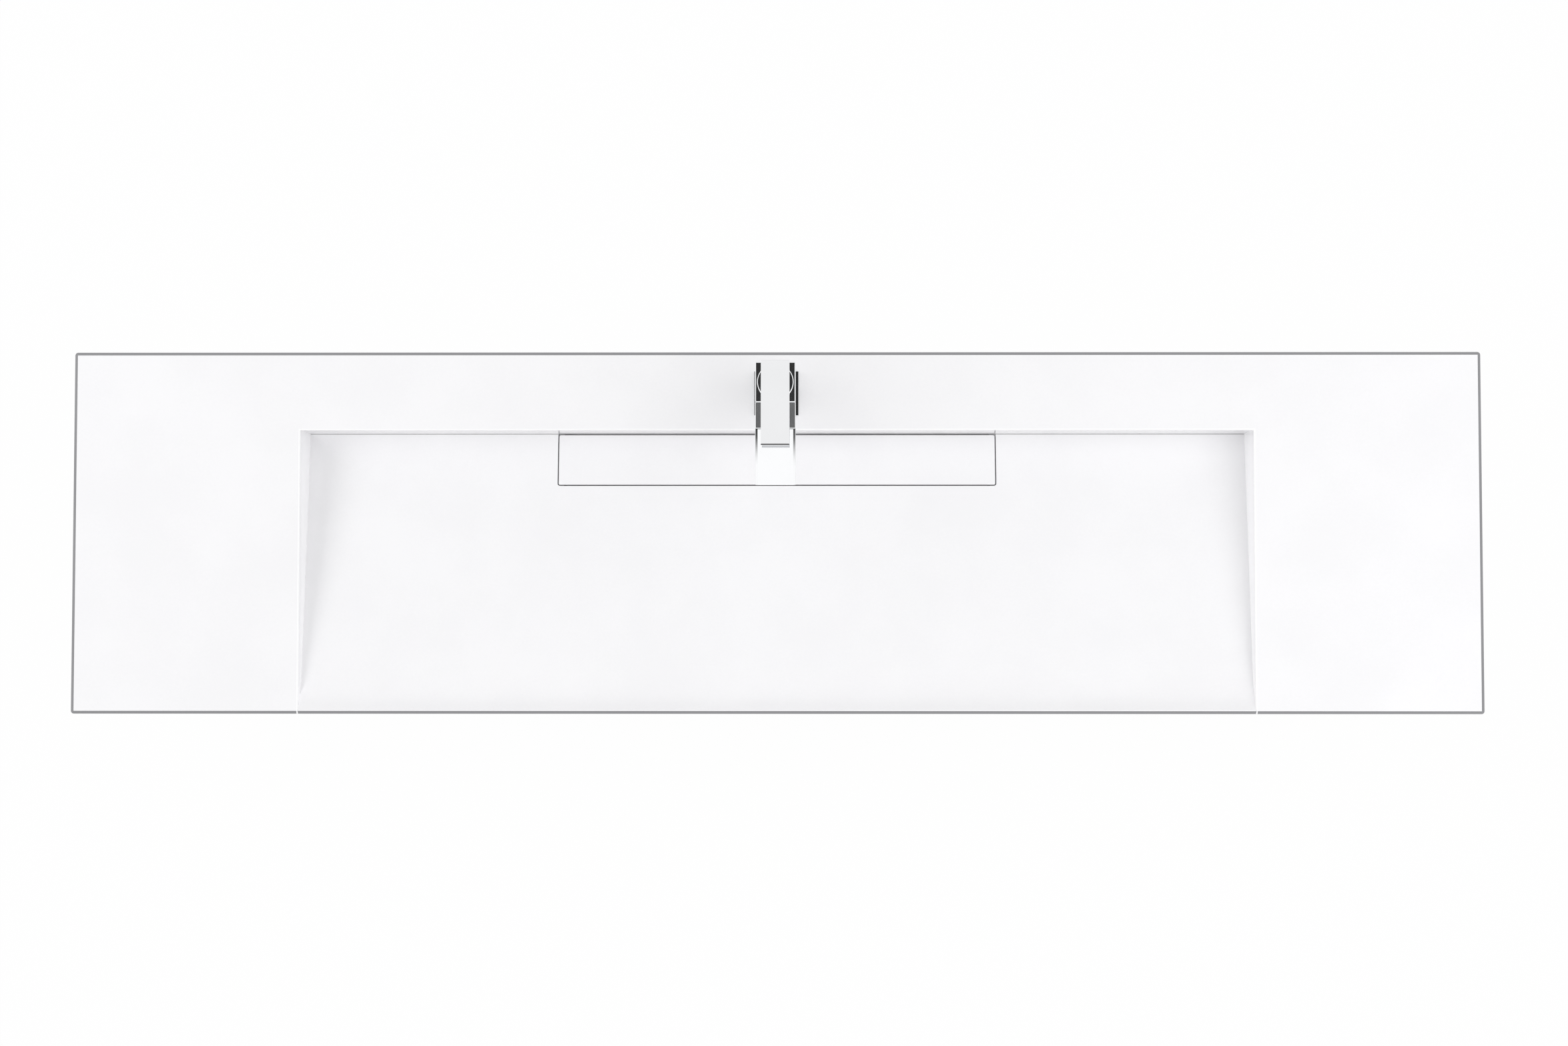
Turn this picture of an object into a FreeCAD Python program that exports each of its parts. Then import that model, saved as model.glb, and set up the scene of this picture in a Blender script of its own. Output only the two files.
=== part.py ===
import FreeCAD, Part
import math
import os
import re

import Sketcher

# A wide vanity top with a ramp basin, a lift-out drain cover and a square single-lever waterfall faucet.
# Millimetres and degrees. +X runs along the top, +Y to the wall, +Z up. The origin is the middle of the
# footprint, on the plane where the top sits on its cabinet.

SIZES = {
    # The top, bonded from one thickness of sheet
    "top_width": 1830,
    "top_depth": 470,
    "top_height": 127,
    "sheet_thick": 12,
    "arris_width": 3.9,
    "arris_height": 1.2,
    "corner_radius": 4,
    "rim_round": 1.5,
    # The basin: a ramp that falls from the front lip to the back wall
    "basin_width": 1240,
    "basin_depth": 62,
    "back_deck": 102,
    "front_lip": 5,
    "cove_run": 45,
    "cove_drop": 19,
    "lip_rabbet": 7,
    # The trough under the back of the ramp, and its lift-out cover
    "trough_width": 76,
    "floor_clearance": 8,
    "cover_length": 578,
    "cover_width": 66.5,
    "cover_gap": 1.4,
    "cover_corner": 1.8,
    "cover_round": 0.8,
    "cover_ledge": 6,
    "pad_thick": 3,
    "pad_width": 4.5,
    "pad_length": 50,
    # The drain fitting in the trough's floor
    "drain_hole_radius": 22.5,
    "drain_shank_radius": 21,
    "drain_bore_radius": 17,
    "drain_flange_radius": 31,
    "drain_flange_thick": 3,
    "strainer_radius": 23,
    "strainer_thick": 1.5,
    "strainer_hole_radius": 2.1,
    "strainer_inner_ring": 7.5,
    "strainer_outer_ring": 14,
    "flange_gasket_radius": 29,
    "flange_gasket_thick": 2,
    "under_washer_radius": 30,
    "under_washer_thick": 5,
    "slip_washer_radius": 29,
    "slip_washer_thick": 1.5,
    "locknut_radius": 32,
    "locknut_thick": 10,
    "shank_spare": 14,
    "tail_radius": 15.9,
    "tail_wall": 1.5,
    "tail_engage": 15,
    "tail_length": 110,
    # The timber under the sheet, and the inserts that take the cabinet's bolts
    "rib_thick": 18,
    "block_side": 40,
    "block_height": 30,
    "insert_radius": 5.5,
    "insert_length": 20,
    "insert_thread_radius": 3.4,
    # The faucet's foot, column and spout
    "faucet_setback": 54.5,
    "faucet_hole_radius": 17.5,
    "base_side": 58,
    "base_thick": 5,
    "base_bevel": 0.4,
    "base_bore_radius": 17.3,
    "base_gasket_thick": 1.5,
    "base_gasket_inset": 1.5,
    "body_side": 50,
    "body_height": 150,
    "body_bevel": 1.2,
    "spout_reach": 101,
    "spout_wall": 3,
    "spout_step": 2,
    "spout_root_depth": 44,
    "spout_tip_depth": 14,
    "spout_bevel": 0.4,
    "lid_length": 32,
    "lid_rear_thick": 5.5,
    "lid_front_thick": 3,
    "lid_bevel": 0.8,
    "chamber_length": 24,
    "chamber_depth": 32,
    "channel_rear_depth": 8,
    "channel_tip_depth": 11,
    "outlet_width": 30,
    "outlet_height": 8,
    "outlet_land": 3,
    "outlet_back": 5,
    "outlet_offset": 9,
    "outlet_radius": 4,
    # The mixing cartridge and its bonnet
    "cartridge_radius": 17.5,
    "cartridge_wall": 2.5,
    "cartridge_floor": 4,
    "cartridge_seal_thick": 2,
    "disc_thick": 3,
    "disc_gap": 0.1,
    "disc_radius": 10.5,
    "disc_port_depth": 1.5,
    "disc_port_radius": 6,
    "carrier_thick": 5,
    "bonnet_radius": 22.5,
    "bonnet_thick": 3,
    "bonnet_bevel": 1,
    "bonnet_depth": 6,
    "bonnet_skirt_radius": 20,
    "bonnet_bore_radius": 11,
    "dome_radius": 16,
    "dome_wall": 2,
    "dome_opening": 10.5,
    "guide_thick": 4,
    "guide_neck_radius": 9.8,
    "guide_neck_rise": 2,
    "guide_slot_length": 14,
    "pivot_drop": 3,
    "pivot_pin_radius": 1.5,
    "pivot_pin_inset": 0.5,
    "stem_boss_radius": 4,
    "stem_boss_rise": 3,
    "stem_shank_radius": 2.4,
    "stem_ball_radius": 3.5,
    "stem_side": 7,
    "stem_rise": 22.5,
    # The lever
    "lever_width": 35,
    "lever_rear": 24.5,
    "lever_reach": 80,
    "lever_thick": 7,
    "lever_lift": 18,
    "lever_rise": 7,
    "lever_bevel": 1,
    "lever_nose": 2.3,
    "nose_drop": 1.3,
    "lever_tilt": 22,
    "hub_radius": 13,
    "hub_lift": 10,
    "hub_gap": 1.2,
    "grub_radius": 2,
    "grub_length": 6,
    "grub_height": 16.6,
    "grub_key_radius": 1,
    "grub_key_depth": 2,
    "plug_length": 2.5,
    # What clamps the faucet to the deck and feeds it
    "stud_radius": 4,
    "stud_offset": 13,
    "stud_engage": 14,
    "stud_spare": 15,
    "horseshoe_radius": 27,
    "horseshoe_slot": 31,
    "horseshoe_slot_end": 6.5,
    "horseshoe_gasket_thick": 3,
    "horseshoe_washer_thick": 3,
    "nut_radius": 7.5,
    "nut_thick": 8,
    "inlet_spacing": 20,
    "inlet_passage_radius": 3.5,
    "inlet_tube_radius": 5,
    "inlet_neck_radius": 4.6,
    "inlet_wall": 1,
    "inlet_engage": 12,
    "inlet_end_length": 60,
    "inlet_drop": 190,
    # Clearances: threads, running pins, sliding pieces and loose rings
    "thread_gap": 0.1,
    "pin_gap": 0.05,
    "slide_gap": 0.3,
    "ring_gap": 0.3,
    "overrun": 5,
}

# Lines, levels and slopes that follow from the sizes
PLACES = {
    "side_line": "top_width / 2",
    "back_line": "top_depth / 2",
    "deck_under": "top_height - sheet_thick",
    "basin_side": "basin_width / 2",
    "rim_line": "back_line - back_deck",
    "lip_line": "front_lip - back_line",
    "apron_line": "back_line - sheet_thick",
    "cove_line": "lip_line + cove_run",
    "cove_level": "top_height - cove_drop",
    "ramp_back_level": "top_height - basin_depth",
    "ramp_slope": "(basin_depth - cove_drop) / (rim_line - cove_line)",
    "ramp_stretch": "sqrt(1 + ramp_slope ^ 2)",
    "ramp_upright": "sheet_thick * ramp_stretch",
    "ramp_under_back": "ramp_back_level - ramp_upright",
    "ramp_under_cove": "cove_level - ramp_upright",
    "rabbet_level": "deck_under - lip_rabbet",
    "trough_line": "rim_line - trough_width",
    "trough_half": "cover_length / 2 - cover_ledge",
    "floor_level": "floor_clearance + sheet_thick",
    "cover_back": "rim_line - cover_gap",
    "cover_front": "cover_back - cover_width",
    "drain_line": "rim_line - trough_width / 2",
    "flange_level": "floor_level + flange_gasket_thick",
    "slip_level": "floor_clearance - under_washer_thick",
    "locknut_level": "slip_level - slip_washer_thick - locknut_thick",
    "shank_end": "locknut_level - shank_spare",
    "deck_rib_middle": "(side_line + basin_side) / 2",
    "ramp_rib_middle": "trough_half + sheet_thick / 2",
    "insert_across": "side_line - sheet_thick - block_side / 2",
    "insert_along": "apron_line - block_side / 2",
    "faucet_line": "back_line - faucet_setback",
    "body_foot": "base_gasket_thick + base_thick",
    "body_half": "body_side / 2",
    "spout_tip": "body_half + spout_reach",
    "spout_top": "body_height - spout_step - lid_rear_thick",
    "guide_top": "body_height - bonnet_depth - slide_gap",
    "carrier_top": "guide_top - guide_thick - slide_gap",
    "disc_top": "carrier_top - carrier_thick",
    "fixed_top": "disc_top - disc_thick - disc_gap",
    "cartridge_inside": "fixed_top - disc_thick",
    "cartridge_bottom": "cartridge_inside - cartridge_floor",
    "cavity_floor": "cartridge_bottom - cartridge_seal_thick",
    "pivot_level": "body_height - pivot_drop",
    "ball_level": "disc_top + stem_ball_radius + slide_gap",
    "disc_travel": "(pivot_level - ball_level) * lever_tilt * pi / 180",
    "cartridge_bore": "cartridge_radius - cartridge_wall",
    "lever_slope": "lever_rise / (lever_reach + lever_rear)",
    "horseshoe_top": "-sheet_thick",
    "washer_top": "horseshoe_top - horseshoe_gasket_thick",
    "nut_top": "washer_top - horseshoe_washer_thick",
}

STRAINER_RINGS = (("strainer_inner_ring", 6), ("strainer_outer_ring", 12))
FULL_TURN = 360
ORIGIN_POINT = (-1, 1)
CLOSE = 0.001
UPWARD_SHARE = 0.9
HEX_SHARES = [(math.cos(turn * math.pi / 3), math.sin(turn * math.pi / 3)) for turn in range(6)]

doc = FreeCAD.newDocument("vanity_top")
sizes = doc.addObject("Spreadsheet::Sheet", "Sizes")
places = doc.addObject("Spreadsheet::Sheet", "Places")
pieces = []


def tied(text, own=()):
    """An expression with each size and place named by its sheet."""
    def full_name(match):
        name = match.group()
        if name in own:
            return name
        if name in SIZES:
            return f"Sizes.{name}"
        return f"Places.{name}" if name in PLACES else name
    return re.sub(r"[a-z_]+", full_name, text)


def fill_sheets():
    for row, (alias, value) in enumerate(SIZES.items(), 1):
        sizes.set(f"A{row}", alias)
        sizes.set(f"B{row}", str(value))
        sizes.setAlias(f"B{row}", alias)
    for row, (alias, text) in enumerate(PLACES.items(), 1):
        places.set(f"A{row}", alias)
        places.set(f"B{row}", "=" + tied(text, PLACES))
        places.setAlias(f"B{row}", alias)
    doc.recompute()


def number(text):
    return float(sizes.evalExpression(tied(text)))


def bind(thing, prop, text):
    thing.setExpression(prop, tied(text))


def move(thing, x="0", y="0", z="0"):
    for axis, text in zip("xyz", (x, y, z)):
        bind(thing, f"Placement.Base.{axis}", text)


# Sketches and features

def new_body(label):
    body = doc.addObject("PartDesign::Body", label)
    body.Label = label
    pieces.append(body)
    return body


def origin_feature(body, role):
    return next(feature for feature in body.Origin.OriginFeatures if feature.Role == role)


def new_sketch(body, plane, lift="0"):
    sketch = body.newObject("Sketcher::SketchObject", f"{body.Label}_sketch")
    sketch.AttachmentSupport = [(origin_feature(body, plane), "")]
    sketch.MapMode = "FlatFace"
    bind(sketch, "AttachmentOffset.Base.z", lift)
    return sketch


def bind_point(sketch, element, end, point):
    """Hold one point of a sketch element at its two bound distances from the sketch's origin."""
    for kind, text in zip(("DistanceX", "DistanceY"), point):
        row = sketch.addConstraint(Sketcher.Constraint(kind, *ORIGIN_POINT, element, end, number(text)))
        sketch.setExpression(f"Constraints[{row}]", tied(text))


def tangent_arc(start, end, along):
    """The arc from start to end that arrives in the direction along, turning left."""
    left = FreeCAD.Vector(-along.y, along.x, 0).normalize()
    chord = start - end
    radius = chord.dot(chord) / (2 * left.dot(chord))
    centre = end + left * radius
    angles = [math.atan2(point.y - centre.y, point.x - centre.x) for point in (start, end)]
    return Part.ArcOfCircle(Part.Circle(centre, FreeCAD.Vector(0, 0, 1), radius), *angles)


def polygon(sketch, points, arcs=()):
    """A closed outline. The edge that leaves a point listed in arcs is an arc, tangent to the next edge."""
    first, count = sketch.GeometryCount, len(points)
    spots = [FreeCAD.Vector(number(u), number(v), 0) for u, v in points]
    for i in range(count):
        start, end, after = spots[i], spots[(i + 1) % count], spots[(i + 2) % count]
        curve = tangent_arc(start, end, after - end) if i in arcs else Part.LineSegment(start, end)
        sketch.addGeometry(curve)
    for i in range(count):
        joint = "Tangent" if i in arcs else "Coincident"
        sketch.addConstraint(Sketcher.Constraint(joint, first + i, 2, first + (i + 1) % count, 1))
    for i, point in enumerate(points):
        bind_point(sketch, first + i, 1, point)


def rectangle(sketch, low, high):
    (left, near), (right, far) = low, high
    polygon(sketch, [(left, near), (right, near), (right, far), (left, far)])


def square(sketch, half):
    rectangle(sketch, (f"-({half})", f"-({half})"), (half, half))


def circle(sketch, radius, u="0", v="0"):
    size = number(radius)
    middle = FreeCAD.Vector(number(u), number(v), 0)
    element = sketch.addGeometry(Part.Circle(middle, FreeCAD.Vector(0, 0, 1), size))
    row = sketch.addConstraint(Sketcher.Constraint("Radius", element, size))
    sketch.setExpression(f"Constraints[{row}]", tied(radius))
    bind_point(sketch, element, 3, (u, v))


def pad(body, sketch, length, midplane=False, reverse=False):
    feature = body.newObject("PartDesign::Pad", f"{body.Label}_pad")
    feature.Profile = sketch
    feature.Midplane = midplane
    feature.Reversed = reverse
    bind(feature, "Length", length)
    doc.recompute()
    return feature


def revolve(body, sketch, kind="Revolution"):
    feature = body.newObject(f"PartDesign::{kind}", f"{body.Label}_turned")
    feature.Profile = sketch
    feature.ReferenceAxis = (origin_feature(body, "Z_Axis"), [""])
    feature.Angle = FULL_TURN
    doc.recompute()


def pocket(body, sketch, depth=None, midplane=False, reverse=False):
    """Cut a sketch out of its body, to a depth or right through, and make sure that it did cut."""
    volume = body.Shape.Volume
    feature = body.newObject("PartDesign::Pocket", f"{body.Label}_pocket")
    feature.Profile = sketch
    feature.Midplane = midplane
    feature.Reversed = reverse
    if depth is None:
        feature.Type = "ThroughAll"
    else:
        bind(feature, "Length", depth)
    doc.recompute()
    if body.Shape.Volume >= volume:
        raise RuntimeError(f"a pocket of {body.Label} cuts nothing")
    return feature


def ball(body, kind, radius, level, half=False):
    """Add or take away a ball centred on the body's axis, or its upper half."""
    feature = body.newObject(f"PartDesign::{kind}Sphere", f"{body.Label}_ball")
    bind(feature, "Radius", radius)
    bind(feature, "Placement.Base.z", level)
    if half:
        feature.Angle1 = 0
    doc.recompute()


def mirrored(body, feature):
    copy = body.newObject("PartDesign::Mirrored", f"{body.Label}_mirror")
    copy.Originals = [feature]
    copy.MirrorPlane = (origin_feature(body, "YZ_Plane"), [""])
    body.Tip = copy
    doc.recompute()


def around(body, feature, count):
    copies = body.newObject("PartDesign::PolarPattern", f"{body.Label}_around")
    copies.Originals = [feature]
    copies.Axis = (origin_feature(body, "Z_Axis"), [""])
    copies.Angle = FULL_TURN
    copies.Occurrences = count
    body.Tip = copies
    doc.recompute()


def edge_names(body, test):
    edges = body.Tip.Shape.Edges
    return [f"Edge{i}" for i, edge in enumerate(edges, 1) if test(edge.BoundBox)]


def face_names(body, test):
    faces = body.Tip.Shape.Faces
    return [f"Face{i}" for i, face in enumerate(faces, 1) if test(face)]


def ease(body, kind, sized, names):
    """Fillet or chamfer the named edges, or all the edges of the named faces."""
    base = body.Tip
    feature = body.newObject(f"PartDesign::{kind}", f"{body.Label}_{kind.lower()}")
    feature.Base = (base, names)
    for prop, text in sized.items():
        bind(feature, prop, text)
    doc.recompute()
    return feature


def faces_up(face):
    return face.normalAt(0, 0).z > UPWARD_SHARE


def upright(box):
    return box.ZLength > CLOSE and max(box.XLength, box.YLength) < CLOSE


def at_level(box, level):
    return abs(box.ZMin - level) < CLOSE and abs(box.ZMax - level) < CLOSE


def box_panel(label, spread, corner):
    panel = doc.addObject("Part::Box", label)
    panel.Label = label
    for prop, text in zip(("Length", "Width", "Height"), spread):
        bind(panel, prop, text)
    move(panel, *corner)
    pieces.append(panel)
    return panel


def side_panel(label, points, width, x="0", arcs=()):
    """A prism along X, from an outline in the Y-Z plane, centred at x."""
    body = new_body(label)
    sketch = new_sketch(body, "YZ_Plane")
    polygon(sketch, points, arcs)
    pad(body, sketch, width, midplane=True)
    move(body, x=x)
    return body


def ring(label, outer, inner, thick, level, y):
    """A flat ring round an upright axis, standing on a level."""
    body = new_body(label)
    sketch = new_sketch(body, "XY_Plane")
    circle(sketch, outer)
    circle(sketch, inner)
    pad(body, sketch, thick)
    move(body, y=y, z=level)
    return body


def hex_nut(label, radius, hole, thick, place):
    """A six-sided nut, measured across its corners."""
    body = new_body(label)
    sketch = new_sketch(body, "XY_Plane")
    polygon(sketch, [(f"{radius} * {across}", f"{radius} * {along}") for across, along in HEX_SHARES])
    circle(sketch, hole)
    pad(body, sketch, thick)
    move(body, *place)


def turned(label, points, y, z="0"):
    """A piece turned round an upright axis from an outline of radius and height."""
    body = new_body(label)
    sketch = new_sketch(body, "XZ_Plane")
    polygon(sketch, points)
    revolve(body, sketch)
    move(body, y=y, z=z)
    return body


def on_deck(body):
    """Stand a faucet piece on the deck, over the middle of the faucet's hole."""
    move(body, y="faucet_line", z="top_height")
    return body


def ramp_level(line, drop="0"):
    """The height of the straight part of the ramp at a line across it, less a drop."""
    return f"ramp_back_level + (rim_line - ({line})) * ramp_slope - ({drop})"


# The sheet work of the top

def deck_panel():
    body = new_body("deck_panel")
    sketch = new_sketch(body, "XY_Plane")
    polygon(sketch, [
        ("-side_line", "-back_line"), ("-basin_side", "-back_line"), ("-basin_side", "rim_line"),
        ("basin_side", "rim_line"), ("basin_side", "-back_line"), ("side_line", "-back_line"),
        ("side_line", "back_line"), ("-side_line", "back_line"),
    ])
    circle(sketch, "faucet_hole_radius", v="faucet_line")
    pad(body, sketch, "sheet_thick")
    side, back, top = number("side_line"), number("back_line"), number("sheet_thick")
    basin, rim = number("basin_side"), number("rim_line")
    ease(body, "Fillet", {"Radius": "corner_radius"},
         edge_names(body, lambda box: upright(box) and abs(abs(box.XMin) - side) < CLOSE))

    def on_rim(box):
        lengthwise = abs(abs(box.XMin) - basin) < CLOSE and box.XLength < CLOSE
        across = abs(box.YMin - rim) < CLOSE and box.YLength < CLOSE
        return at_level(box, top) and (lengthwise or across)

    def on_outside(box):
        beyond = max(abs(box.XMin), abs(box.XMax)) > side - CLOSE
        return at_level(box, top) and (beyond or max(abs(box.YMin), abs(box.YMax)) > back - CLOSE)

    bevel = ease(body, "Chamfer", {"Size": "arris_width", "Size2": "arris_height"},
                 edge_names(body, lambda box: on_outside(box) and not on_rim(box)))
    bevel.ChamferType = "Two distances"
    bevel.FlipDirection = True
    doc.recompute()
    ease(body, "Fillet", {"Radius": "rim_round"}, edge_names(body, on_rim))
    move(body, z="deck_under")


def long_apron(label, y, outside):
    """The front or back apron, full width, with its two outer corners rounded."""
    body = new_body(label)
    sketch = new_sketch(body, "XY_Plane")
    rectangle(sketch, ("-side_line", "0"), ("side_line", "sheet_thick"))
    pad(body, sketch, "deck_under")
    line = number(outside)
    ease(body, "Fillet", {"Radius": "corner_radius"},
         edge_names(body, lambda box: upright(box) and abs(box.YMin - line) < CLOSE))
    move(body, y=y)


def aprons():
    long_apron("front_apron", "-back_line", "0")
    long_apron("back_apron", "apron_line", "sheet_thick")
    for label, x in (("left_apron", "-side_line"), ("right_apron", "side_line - sheet_thick")):
        box_panel(label, ("sheet_thick", "2 * apron_line", "deck_under"), (x, "-apron_line", "0"))


def basin_ramp():
    body = side_panel("basin_ramp", [
        ("arris_width - back_line", "top_height"), ("lip_line", "top_height"),
        ("cove_line", "cove_level"), ("rim_line", "ramp_back_level"),
        ("rim_line", "ramp_under_back"), ("cove_line", "ramp_under_cove"),
        ("-apron_line", "rabbet_level"), ("-apron_line", "deck_under"),
        ("-back_line", "deck_under"), ("-back_line", "top_height - arris_height"),
    ], "basin_width", arcs=[1])
    half, front = "cover_length / 2 + cover_gap", "cover_front - cover_gap"
    corner = "cover_corner + cover_gap"
    sketch = new_sketch(body, "XY_Plane")
    polygon(sketch, [
        (f"-({half})", "rim_line + overrun"), (f"-({half})", f"{front} + {corner}"),
        (f"{corner} - ({half})", front), (f"{half} - ({corner})", front),
        (half, f"{front} + {corner}"), (half, "rim_line + overrun"),
    ], arcs=[1, 3])
    pocket(body, sketch, midplane=True)


def basin_walls():
    outline = [
        ("-apron_line", "deck_under"), ("-apron_line", "rabbet_level"),
        ("cove_line", "ramp_under_cove"), ("rim_line", "ramp_under_back"), ("rim_line", "deck_under"),
    ]
    middle = "basin_side + sheet_thick / 2"
    side_panel("basin_left_wall", outline, "sheet_thick", f"-({middle})")
    side_panel("basin_right_wall", outline, "sheet_thick", middle)
    box_panel("basin_back_wall",
              ("basin_width + 2 * sheet_thick", "sheet_thick", "deck_under - floor_clearance"),
              ("-basin_side - sheet_thick", "rim_line", "floor_clearance"))


def trough():
    under = "ramp_upright"
    front = "trough_line - sheet_thick"
    side_panel("trough_front_wall", [
        (front, "floor_clearance"), ("trough_line", "floor_clearance"),
        ("trough_line", ramp_level("trough_line", under)), (front, ramp_level(front, under)),
    ], "2 * (trough_half + sheet_thick)")
    end_outline = [
        ("trough_line", "floor_clearance"), ("rim_line", "floor_clearance"),
        ("rim_line", "ramp_under_back"), ("trough_line", ramp_level("trough_line", under)),
    ]
    middle = "trough_half + sheet_thick / 2"
    side_panel("trough_left_end", end_outline, "sheet_thick", f"-({middle})")
    side_panel("trough_right_end", end_outline, "sheet_thick", middle)
    floor = new_body("trough_floor")
    sketch = new_sketch(floor, "XY_Plane")
    rectangle(sketch, ("-trough_half", "trough_line"), ("trough_half", "rim_line"))
    circle(sketch, "drain_hole_radius", v="drain_line")
    pad(floor, sketch, "sheet_thick")
    move(floor, z="floor_clearance")


def drain_cover():
    thick = "(sheet_thick - pad_thick) * ramp_stretch"
    cover = side_panel("drain_cover", [
        ("cover_front", ramp_level("cover_front", thick)), ("cover_back", ramp_level("cover_back", thick)),
        ("cover_back", ramp_level("cover_back")), ("cover_front", ramp_level("cover_front")),
    ], "cover_length")
    ease(cover, "Fillet", {"Radius": "cover_corner"}, edge_names(cover, upright))
    ease(cover, "Fillet", {"Radius": "cover_round"}, face_names(cover, faces_up))
    pads = new_body("cover_pads")
    sketch = new_sketch(pads, "YZ_Plane", "(cover_length - cover_ledge) / 2")
    middle = "(cover_front + cover_back) / 2"
    ends = (f"{middle} - pad_length / 2", f"{middle} + pad_length / 2")
    polygon(sketch, [
        (ends[0], ramp_level(ends[0], "ramp_upright")), (ends[1], ramp_level(ends[1], "ramp_upright")),
        (ends[1], ramp_level(ends[1], thick)), (ends[0], ramp_level(ends[0], thick)),
    ])
    mirrored(pads, pad(pads, sketch, "pad_width", midplane=True))


# The drain fitting

def drain_fitting():
    top = "drain_flange_thick"
    seat = "strainer_radius + ring_gap"
    length = "flange_level - shank_end"
    turned("drain_body", [
        ("drain_bore_radius", f"-({length})"), ("drain_shank_radius", f"-({length})"),
        ("drain_shank_radius", "0"), ("drain_flange_radius", "0"),
        ("drain_flange_radius", f"{top} / 2"), (f"drain_flange_radius - {top} / 2", top),
        (seat, top), (seat, f"{top} - strainer_thick"), ("drain_bore_radius", f"{top} - strainer_thick"),
    ], "drain_line", "flange_level")
    strainer = ring("drain_strainer", "strainer_radius", "strainer_hole_radius", "strainer_thick",
                    f"flange_level + {top} - strainer_thick", "drain_line")
    for ring_radius, count in STRAINER_RINGS:
        sketch = new_sketch(strainer, "XY_Plane")
        circle(sketch, "strainer_hole_radius", u=ring_radius)
        around(strainer, pocket(strainer, sketch, midplane=True), count)
    loose = "drain_shank_radius + ring_gap"
    ring("drain_top_gasket", "flange_gasket_radius", loose, "flange_gasket_thick",
         "floor_level", "drain_line")
    ring("drain_under_washer", "under_washer_radius", loose, "under_washer_thick",
         "slip_level", "drain_line")
    ring("drain_slip_washer", "slip_washer_radius", loose, "slip_washer_thick",
         "slip_level - slip_washer_thick", "drain_line")
    hex_nut("drain_locknut", "locknut_radius", "drain_shank_radius + thread_gap", "locknut_thick",
            ("0", "drain_line", "locknut_level"))
    inner, collar = "tail_radius - tail_wall", "drain_bore_radius - thread_gap"
    turned("drain_tailpiece", [
        (inner, "-tail_length"), ("tail_radius", "-tail_length"), ("tail_radius", "0"),
        (collar, "0"), (collar, "tail_engage"), (inner, "tail_engage"),
    ], "drain_line", "shank_end")


# The timber that carries the sheet, and the inserts for the cabinet's bolts

def timber():
    for label, sign in (("left_deck_rib", "-"), ("right_deck_rib", "")):
        box_panel(label, ("rib_thick", "2 * apron_line", "deck_under"),
                  (f"{sign}deck_rib_middle - rib_thick / 2", "-apron_line", "0"))
    back = "trough_line - sheet_thick"
    outline = [
        ("-apron_line", "0"), (back, "0"), (back, ramp_level(back, "ramp_upright")),
        ("cove_line", "ramp_under_cove"), ("-apron_line", "rabbet_level"),
    ]
    middle = "ramp_rib_middle"
    for label, x in (("left_ramp_rib", f"-{middle}"), ("middle_ramp_rib", "0"), ("right_ramp_rib", middle)):
        side_panel(label, outline, "rib_thick", x)
    signs = ("-", "")
    corners = [(f"{across}insert_across", f"{along}insert_along") for across in signs for along in signs]
    blocks, inserts = new_body("corner_blocks"), new_body("threaded_inserts")
    block_sketch, insert_sketch = (new_sketch(body, "XY_Plane") for body in (blocks, inserts))
    half = "block_side / 2"
    for x, y in corners:
        rectangle(block_sketch, (f"{x} - {half}", f"{y} - {half}"), (f"{x} + {half}", f"{y} + {half}"))
        circle(block_sketch, "insert_radius + thread_gap", x, y)
        circle(insert_sketch, "insert_radius", x, y)
        circle(insert_sketch, "insert_thread_radius", x, y)
    pad(blocks, block_sketch, "block_height")
    pad(inserts, insert_sketch, "insert_length")


# The faucet, each piece drawn over the middle of its hole with the deck at height zero

def faucet_foot():
    gasket = new_body("base_gasket")
    sketch = new_sketch(gasket, "XY_Plane")
    square(sketch, "base_side / 2 - base_gasket_inset")
    circle(sketch, "base_bore_radius")
    pad(gasket, sketch, "base_gasket_thick")
    plate = new_body("base_plate")
    sketch = new_sketch(plate, "XY_Plane", "base_gasket_thick")
    square(sketch, "base_side / 2")
    circle(sketch, "base_bore_radius")
    pad(plate, sketch, "base_thick")
    top = number("body_foot")
    ease(plate, "Chamfer", {"Size": "base_bevel"}, edge_names(
        plate, lambda box: at_level(box, top) and min(box.XLength, box.YLength) < CLOSE))
    on_deck(gasket)
    on_deck(plate)


def inlet_places():
    return (("-inlet_spacing / 2", "0"), ("inlet_spacing / 2", "0"))


def ports(body):
    """The two inlets and the outlet, right through a piece of the cartridge."""
    sketch = new_sketch(body, "XY_Plane")
    for spot in inlet_places():
        circle(sketch, "inlet_passage_radius", *spot)
    circle(sketch, "outlet_radius", v="-outlet_offset")
    pocket(body, sketch, midplane=True)


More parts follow.
